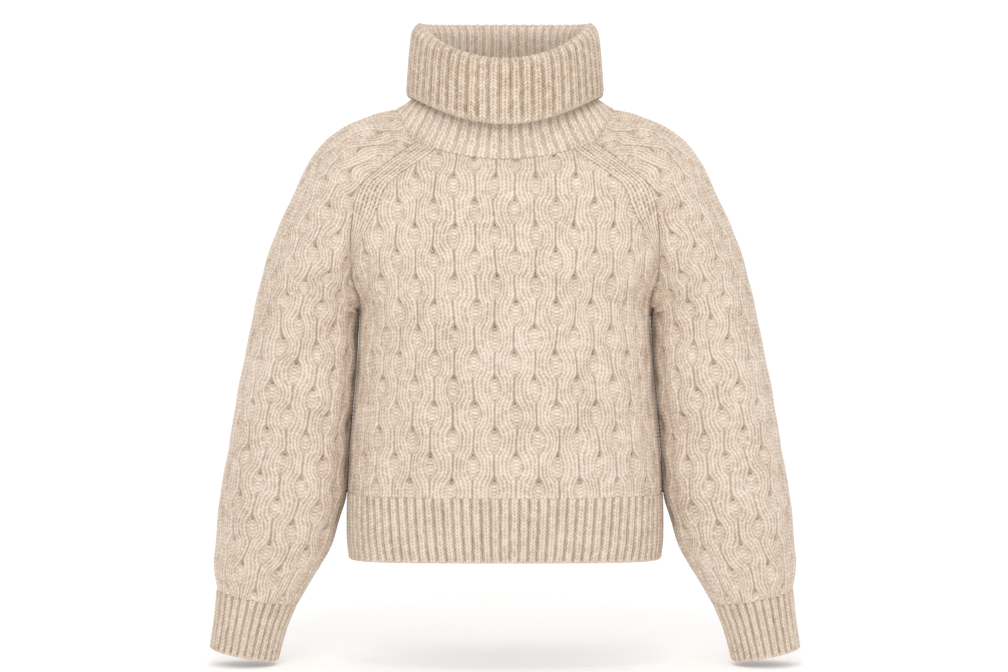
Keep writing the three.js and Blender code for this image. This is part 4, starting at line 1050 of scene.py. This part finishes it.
def knit_cuff(name, mirrored):
    def surface(along, share, depth):
        line = smooth(CUFF[:, 0], CUFF[:, 1:], along)
        outer = np.stack([line[:, 0], -line[:, 5], line[:, 1]], axis=-1)[:, None]
        inner = np.stack([line[:, 2], -line[:, 5], line[:, 3]], axis=-1)[:, None]
        axis = unit(np.stack([(outer - inner)[..., 2], 0 * outer[..., 0], (inner - outer)[..., 0]], axis=-1))

        def ring(turn):
            round_turn = np.mod(turn, 1)
            facing = np.where(round_turn <= 0.5, -1, 1)[:, None]
            t = np.where(round_turn <= 0.5, round_turn * 2, 2 - round_turn * 2)[:, None]
            handle = facing * np.array((0, 1, 0)) * line[:, None, 4:5]
            return (
                outer * (1 - t) ** 3 + (outer + handle) * 3 * t * (1 - t) ** 2
                + (inner + handle) * 3 * t**2 * (1 - t) + inner * t**3
            )

        points = ring(share)
        across = ring(share + STEP / 4) - ring(share - STEP / 4)
        out = unit(np.cross(across, np.broadcast_to(axis, points.shape)))
        away = points - (outer + inner) / 2
        out = out * np.where((out * away).sum(axis=-1, keepdims=True) < 0, -1, 1)
        points = points - out * depth[..., None]
        points[along == 0] += (axis * np.where(axis[..., 2:] < 0, 1, -1) * SEAM_GAP)[along == 0]
        return points

    along, turned_in, strength = rolled_rows(CUFF_ROLL, 0, CUFF_ROLL[-1][0] * CUFF_LENGTH)
    height, knit, purl, low = ribs(CUFF_RIBS, -along * CUFF_LENGTH / KNIT_ROW)
    share = rib_shares(CUFF_RIBS) - 0.5 / CUFF_RIBS
    cloth = Cloth()
    points = surface(along, share, turned_in[:, None] - height * strength[:, None])
    numbers = cloth.place(points, purl, low * strength[:, None])
    numbers[:, -1] = numbers[:, 0]
    cloth.fill(numbers, knit)
    inner_along = np.array((0.99, 0.96, 0.85, 0.7, 0.55, 0.4, 0.25, 0.12, 0))
    inner_share = np.linspace(0, 1, 41)
    inner_depth = np.full(inner_along.shape, float(RIB_WALL))
    inner_depth[0] = RIB_WALL - 0.9
    inner_points = surface(inner_along, inner_share, inner_depth[:, None] + 0 * inner_share)
    inner_row = -inner_along * CUFF_LENGTH / KNIT_ROW
    inner_knit = np.stack(np.broadcast_arrays(2 * CUFF_RIBS * inner_share, inner_row[:, None]), axis=-1)
    # The inner wall gets some painted shade in its colour.
    inner_numbers = cloth.place(inner_points, 0.0, 0.5)
    inner_numbers[:, -1] = inner_numbers[:, 0]
    cloth.fill(inner_numbers[::-1], inner_knit[::-1])
    outer_rims = [(numbers[i], share, knit[i]) for i in (0, -1)]
    inner_rims = [(inner_numbers[i], inner_share, inner_knit[i]) for i in (0, -1)]
    cloth.zip(inner_rims[0], outer_rims[0])
    cloth.zip(outer_rims[1], inner_rims[1])
    return cloth.make(name, mirrored)


left_cuff = knit_cuff("left_cuff_knit", False)
right_cuff = knit_cuff("right_cuff_knit", True)

# %% [markdown]
# ## The collar
#
# The collar is drawn as a closed profile that runs round the neck: up the inside, over the fold, down the
# outside to the loose edge, back up under it, and down the neck's base to the seam. Each ring of the profile
# is an oval with its own heights at the front, the side and the back. The fold's rings droop more quickly
# from the sides to the front and the back than the others.

# %% The collar's rings
# Half width, depth of the front and the back, height at the front, side and back, ribs' height, millimetres
# between rows of points up to the next ring.
RINGS = np.array([
    (105, -78, 75, -47, -1, 14, 1.8, 1.4), (93, -73, 70, 2, 46, 61, 2.2, 1.4),
    (90, -72, 69, 34, 82, 90.5, 2.2, 1.2), (97.5, -82, 78, 43.4, 93, 101.4, 1, 1.2),
    (105.2, -91.7, 87.7, 34, 82, 90.5, 2.4, 1.4), (111, -96, 92, -22, 16, 29, 2.6, 1.4),
    (111.4, -96.4, 92.4, -29, 9, 22, 0.3, 1.5), (106.5, -91.5, 87.5, -30, 8, 21, 0, 12),
    (101, -86, 82, 30, 78, 86.5, 0, 4), (98, -82, 78, 34, 82, 90.5, 0, 4),
    (96.5, -79, 75.5, 28, 76, 84, 0, 12), (98, -79, 75.5, -8, 31, 46, 0.4, 4),
    (102.5, -79.5, 76.5, -31, 9, 26, 2, 1.4), (113, -83, 80, -52, -0.5, 11, 2, 1.4),
])

# The heights between which the fold's droop sets in.
DROOP = 20, 80


def even_ring(points, shares):
    """A closed line of points, read at even shares of its length from its start."""
    length = lengths_along(points)
    return np.stack([np.interp(np.mod(shares, 1) * length[-1], length, part) for part in points.T], axis=-1)


COLLAR_LAP = 2.2
COLLAR_SINK = 1.1

# Painted shade added to the wool's colour on each ring, most on the outside of the fold.
COLLAR_PAINTED_SHADE = np.array((0, 0, 0, 0.15, 0.36, 0.36, 0.3, 0, 0, 0, 0, 0, 0, 0, 0, 0))


def knit_collar(name):
    ring_shares = rib_shares(COLLAR_RIBS) - 0.5 / COLLAR_RIBS
    turn = np.linspace(0, 2 * math.pi, 241)
    rings = []
    for half_width, front_depth, back_depth, z_front, z_side, z_back, *_ in RINGS:
        at_front = np.cos(turn) > 0
        to_end = np.abs(np.cos(turn)) ** (2 - np.where(at_front, 0.5, 0.7) * ease(*DROOP, z_side))
        depth = np.where(at_front, -front_depth, back_depth)
        z = z_side + (np.where(at_front, z_front, z_back) - z_side) * to_end
        ring = np.stack([half_width * np.sin(turn), -depth * np.cos(turn), z], axis=-1)
        rings.append(even_ring(ring, ring_shares))

    # The seam ring follows the top edges of the front, the sleeves and the back.
    part = np.arange(64) / 64
    half = np.concatenate([
        panel_point(FRONT_RAGLAN, BODY[:, 2], FRONT_RAGLAN[-1, COURSE], part),
        sleeve_point(0.0, 2 * part - 1),
        panel_point(BACK_RAGLAN, BODY[:, 3], BACK_RAGLAN[-1, COURSE], np.append(1 - part, 0)),
    ])
    neckline = np.concatenate([half, half[-2::-1] * (-1, 1, 1)])
    seam = even_ring(neckline, ring_shares)
    before, after = even_ring(neckline, ring_shares - 0.004), even_ring(neckline, ring_shares + 0.004)
    out = -unit(np.stack([before[:, 1] - after[:, 1], after[:, 0] - before[:, 0], 0 * after[:, 0]], axis=-1))
    out[:, 2] = 0.75
    out = unit(out)
    rings.append(seam + out * (COLLAR_LAP, COLLAR_LAP, 0) - (0, 0, COLLAR_SINK))
    rings.append(seam + (0, 0, NECK_SEAM_RISE) - out * RIB_WALL)
    rings = np.array(rings)
    ridge = np.append(RINGS[:, 6], (1.5, 0.0))
    spacing = np.append(RINGS[:, 7], (2, 12))

    # One closed curve through the rings, with two extra at each end so that it closes smoothly.
    closed = np.concatenate([rings[-2:], rings, rings[:3]])
    gaps = np.linalg.norm(np.diff(closed, axis=0), axis=-1).mean(axis=1)
    key = np.concatenate([[0], np.cumsum(gaps)])
    along = np.concatenate([
        np.linspace(key[i + 2], key[i + 3], max(round(gaps[i + 2] / spacing[i]), 2), endpoint=False)
        for i in range(len(rings))
    ])
    grid = smooth(key, closed, along)
    wrapped = np.concatenate([grid[-1:], grid, grid[:1]])
    up = wrapped[2:] - wrapped[:-2]
    across = np.roll(grid[:, :-1], -1, axis=1) - np.roll(grid[:, :-1], 1, axis=1)
    across = np.concatenate([across, across[:, :1]], axis=1)
    outward = unit(np.cross(across, up))
    strength = np.interp(along, key, np.concatenate([ridge[-2:], ridge, ridge[:3]])) / RIB_DEPTH
    row = along / KNIT_ROW
    height, knit, purl, low = ribs(COLLAR_RIBS, row)
    outside = np.argmin(np.abs(along - key[6]))
    facing = np.sign((outward[outside] * grid[outside])[..., :2].sum())
    points = grid + outward * facing * ((height + RIB_DEPTH) * strength[:, None])[..., None]
    cloth = Cloth()
    # The collar's painted shade: the ribs' valleys, and more on the outside rings of the fold.
    shade = np.interp(along, key, np.concatenate([COLLAR_PAINTED_SHADE[-2:], COLLAR_PAINTED_SHADE, COLLAR_PAINTED_SHADE[:3]]))
    numbers = cloth.place(points, purl, low * np.clip(strength, 0, 1)[:, None] + shade[:, None])
    numbers[:, -1] = numbers[:, 0]
    numbers = np.concatenate([numbers, numbers[:1]])
    knit = np.concatenate([knit, knit[:1] + (0, (key[-3] - key[2]) / KNIT_ROW)])
    cloth.fill(numbers, knit)
    return cloth.make(name)


collar = knit_collar("collar_knit")

# %% [markdown]
# ## Undyed wool
#
# The yarn is a soft, woollen-spun, undyed oatmeal. It has almost no shine, a haze of fine fibres that catches
# light at grazing angles, and a colour that drifts a little from stitch to stitch. What the eye reads as
# knitting is mostly the shade in the gap round each strand, so the material paints that shade into the wool's
# colour: it darkens the valleys between the wales, the dip inside each V, and the gaps and eyes, by the
# painted shade that the mesh's low attribute gives.


# %% The recipe for the yarn's relief and shade
# Each noise has a scale, a detail and a roughness.
NOISES = {
    "wobble": (90, 2, 0.5),
    "twitch": (280, 1, 0.5),
    "soft_drift": (26, 4, 0.5),
    "fibre": (900, 4, 0.75),
}

# Each line is what it gives, the step, and the step's inputs, which are earlier results or numbers.
YARN_RECIPE = (
    # The strands wobble and twitch sideways, round the places that the mesh gives.
    ("wale", "SUBTRACT", "wale", 0.275),
    ("wale", "MULTIPLY_ADD", "wobble", 0.3, "wale"),
    ("wale", "MULTIPLY_ADD", "twitch", 0.25, "wale"),
    # Distance from a V's middle: 0 there, 0.25 on a leg, 0.5 between wales. Rows slant up along the legs.
    ("from_middle", "PINGPONG", "wale", 0.5),
    ("slanted", "MULTIPLY_ADD", "from_middle", -4 * CHEVRON, "row"),
    ("along", "PINGPONG", "slanted", 0.5),
    ("along", "MULTIPLY", "along", 2.0),
    ("along", "POWER", "along", 0.5),
    ("along", "MULTIPLY_ADD", "along", 0.8, 0.2),
    ("leg", "PINGPONG", "from_middle", 0.25),
    ("leg", "MULTIPLY", "leg", 4.0),
    ("leg", "POWER", "leg", "roundness"),
    ("strand", "MULTIPLY", "leg", "along"),
    # Purl bumps lie across, each one half a row from its neighbour.
    ("bump_place", "MULTIPLY", "wale", 2.0),
    ("half_rows", "ADD", "bump_place", 0.5),
    ("half_rows", "FLOOR", "half_rows"),
    ("bump_along", "MULTIPLY_ADD", "half_rows", 0.5, "row"),
    ("bump_along", "PINGPONG", "bump_along", 0.5),
    ("bump_along", "MULTIPLY", "bump_along", 2.0),
    ("bump_along", "POWER", "bump_along", 0.8),
    ("bump_across", "PINGPONG", "bump_place", 0.5),
    ("bump_across", "MULTIPLY_ADD", "bump_across", -0.9, 1.0),
    ("bumps", "MULTIPLY", "bump_along", "bump_across"),
    ("bumps", "POWER", "bumps", 0.7),
    # The relief is strands on knit stitches and bumps on purl ones.
    ("to_bumps", "SUBTRACT", "bumps", "strand"),
    ("relief", "MULTIPLY_ADD", "to_bumps", "purl", "strand"),
    # Each stitch has its own shade.
    ("stitch_across", "ROUND", "bump_place"),
    ("stitch_up", "FLOOR", "slanted"),
    ("stitch", "CombineXYZ", "stitch_across", "stitch_up"),
    ("own_shade", "TexWhiteNoise", "stitch"),
    # Painted shade round a strand and in a gap, and the wool's own drift in tone by stitch, by patch and by
    # fibre.
    ("dark", "MULTIPLY_ADD", "relief", -0.62, 0.11),
    ("dark", "MULTIPLY_ADD", "low", 0.4, "dark"),
    ("dark", "MULTIPLY_ADD", "own_shade", 0.22, "dark"),
    ("dark", "MULTIPLY_ADD", "soft_drift", 0.3, "dark"),
    ("dark", "MULTIPLY_ADD", "fibre", 0.5, "dark"),
    ("height", "MULTIPLY", "relief", 0.8),
    ("height", "MULTIPLY_ADD", "fibre", 0.5, "height"),
)


# %% The wool material
def woollen_knit(name, base, shade, deep, roundness):
    """Woollen-spun knitting yarn: matt, hazy, with a slight drift in colour, and shade painted into its gaps.
    """
    material = bpy.data.materials.new(name)
    material.use_nodes = True
    tree = material.node_tree
    shader = tree.nodes["Principled BSDF"]
    knit = add_node(tree, "ShaderNodeUVMap", {"uv_map": "knit"})
    wale_and_row = add_node(tree, "ShaderNodeSeparateXYZ", _0=knit.outputs[0])
    found = {"roundness": roundness, "wale": wale_and_row.outputs[0], "row": wale_and_row.outputs[1]}
    for layer in ("purl", "low"):
        found[layer] = add_node(tree, "ShaderNodeAttribute", {"attribute_name": layer}).outputs["Fac"]
    place = add_node(tree, "ShaderNodeTexCoord").outputs["Object"]
    for result, (scale, detail, rough) in NOISES.items():
        noise = add_node(
            tree, "ShaderNodeTexNoise", Vector=place, Scale=scale, Detail=detail, Roughness=rough
        )
        found[result] = noise.outputs[0]
    for result, step, *inputs in YARN_RECIPE:
        kind, settings = ("Math", {"operation": step}) if step.isupper() else (step, {})
        sockets = {f"_{i}": found.get(value, value) for i, value in enumerate(inputs)}
        found[result] = add_node(tree, "ShaderNode" + kind, settings, **sockets).outputs[0]

    # The ramp turns painted shade and tone into colour: the wool's own colour, then the painted shade round a
    # strand, then the painted shade deep in a gap.
    ramp = add_node(tree, "ShaderNodeValToRGB", Fac=found["dark"])
    ramp.color_ramp.elements[0].position = 0.08
    ramp.color_ramp.elements[0].color = linear(base)
    ramp.color_ramp.elements[1].position = 1.0
    ramp.color_ramp.elements[1].color = linear(deep)
    ramp.color_ramp.elements.new(0.5).color = linear(shade)
    tree.links.new(ramp.outputs[0], shader.inputs["Base Color"])
    bump = add_node(tree, "ShaderNodeBump", Height=found["height"], Strength=0.6, Distance=0.0008)
    tree.links.new(bump.outputs[0], shader.inputs["Normal"])
    set_sockets(shader, {
        "Roughness": 0.92, "Specular IOR Level": 0.2,
        "Sheen Weight": 0.25, "Sheen Roughness": 0.5, "Sheen Tint": linear("#F3E6D6"),
    })
    return material


# Each wool has its own colour, then the colours of painted shade round the strands and deep in the gaps, and
# the legs' roundness.
cable_wool = woollen_knit("woollen_honeycomb_knit", "#F1E4D7", "#D1BBA6", "#75604D", 0.7)
rib_wool = woollen_knit("woollen_rib_knit", "#EEE1D3", "#CBB5A0", "#77614D", 0.4)

# %% [markdown]
# ## Each piece in its place
#
# Every knitted piece stands for one CAD solid and takes the wool of that solid's slot. The table also gives
# each piece's flat size, which a knitter would block it to before sewing.

PIECES = (
    (front, "front_panel", "cable_knit", (0.515, 0.39), 0.178),
    (back, "back_panel", "cable_knit", (0.515, 0.445), 0.193),
    (left_sleeve, "left_sleeve", "cable_knit", (0.415, 0.6), 0.2),
    (right_sleeve, "right_sleeve", "cable_knit", (0.415, 0.6), 0.2),
    (front_hem, "front_hem_rib", "rib_knit", (0.48, 0.076), None),
    (back_hem, "back_hem_rib", "rib_knit", (0.48, 0.076), None),
    (left_cuff, "left_cuff", "rib_knit", (0.25, 0.067), None),
    (right_cuff, "right_cuff", "rib_knit", (0.25, 0.067), None),
    (collar, "collar", "rib_knit", (0.62, 0.2), None),
)
for piece, node, slot, flat, area in PIECES:
    piece.data.materials.append(cable_wool if slot == "cable_knit" else rib_wool)
    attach(piece, "root")
    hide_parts(node)
print(len(PIECES), "pieces stand for the CAD solids")
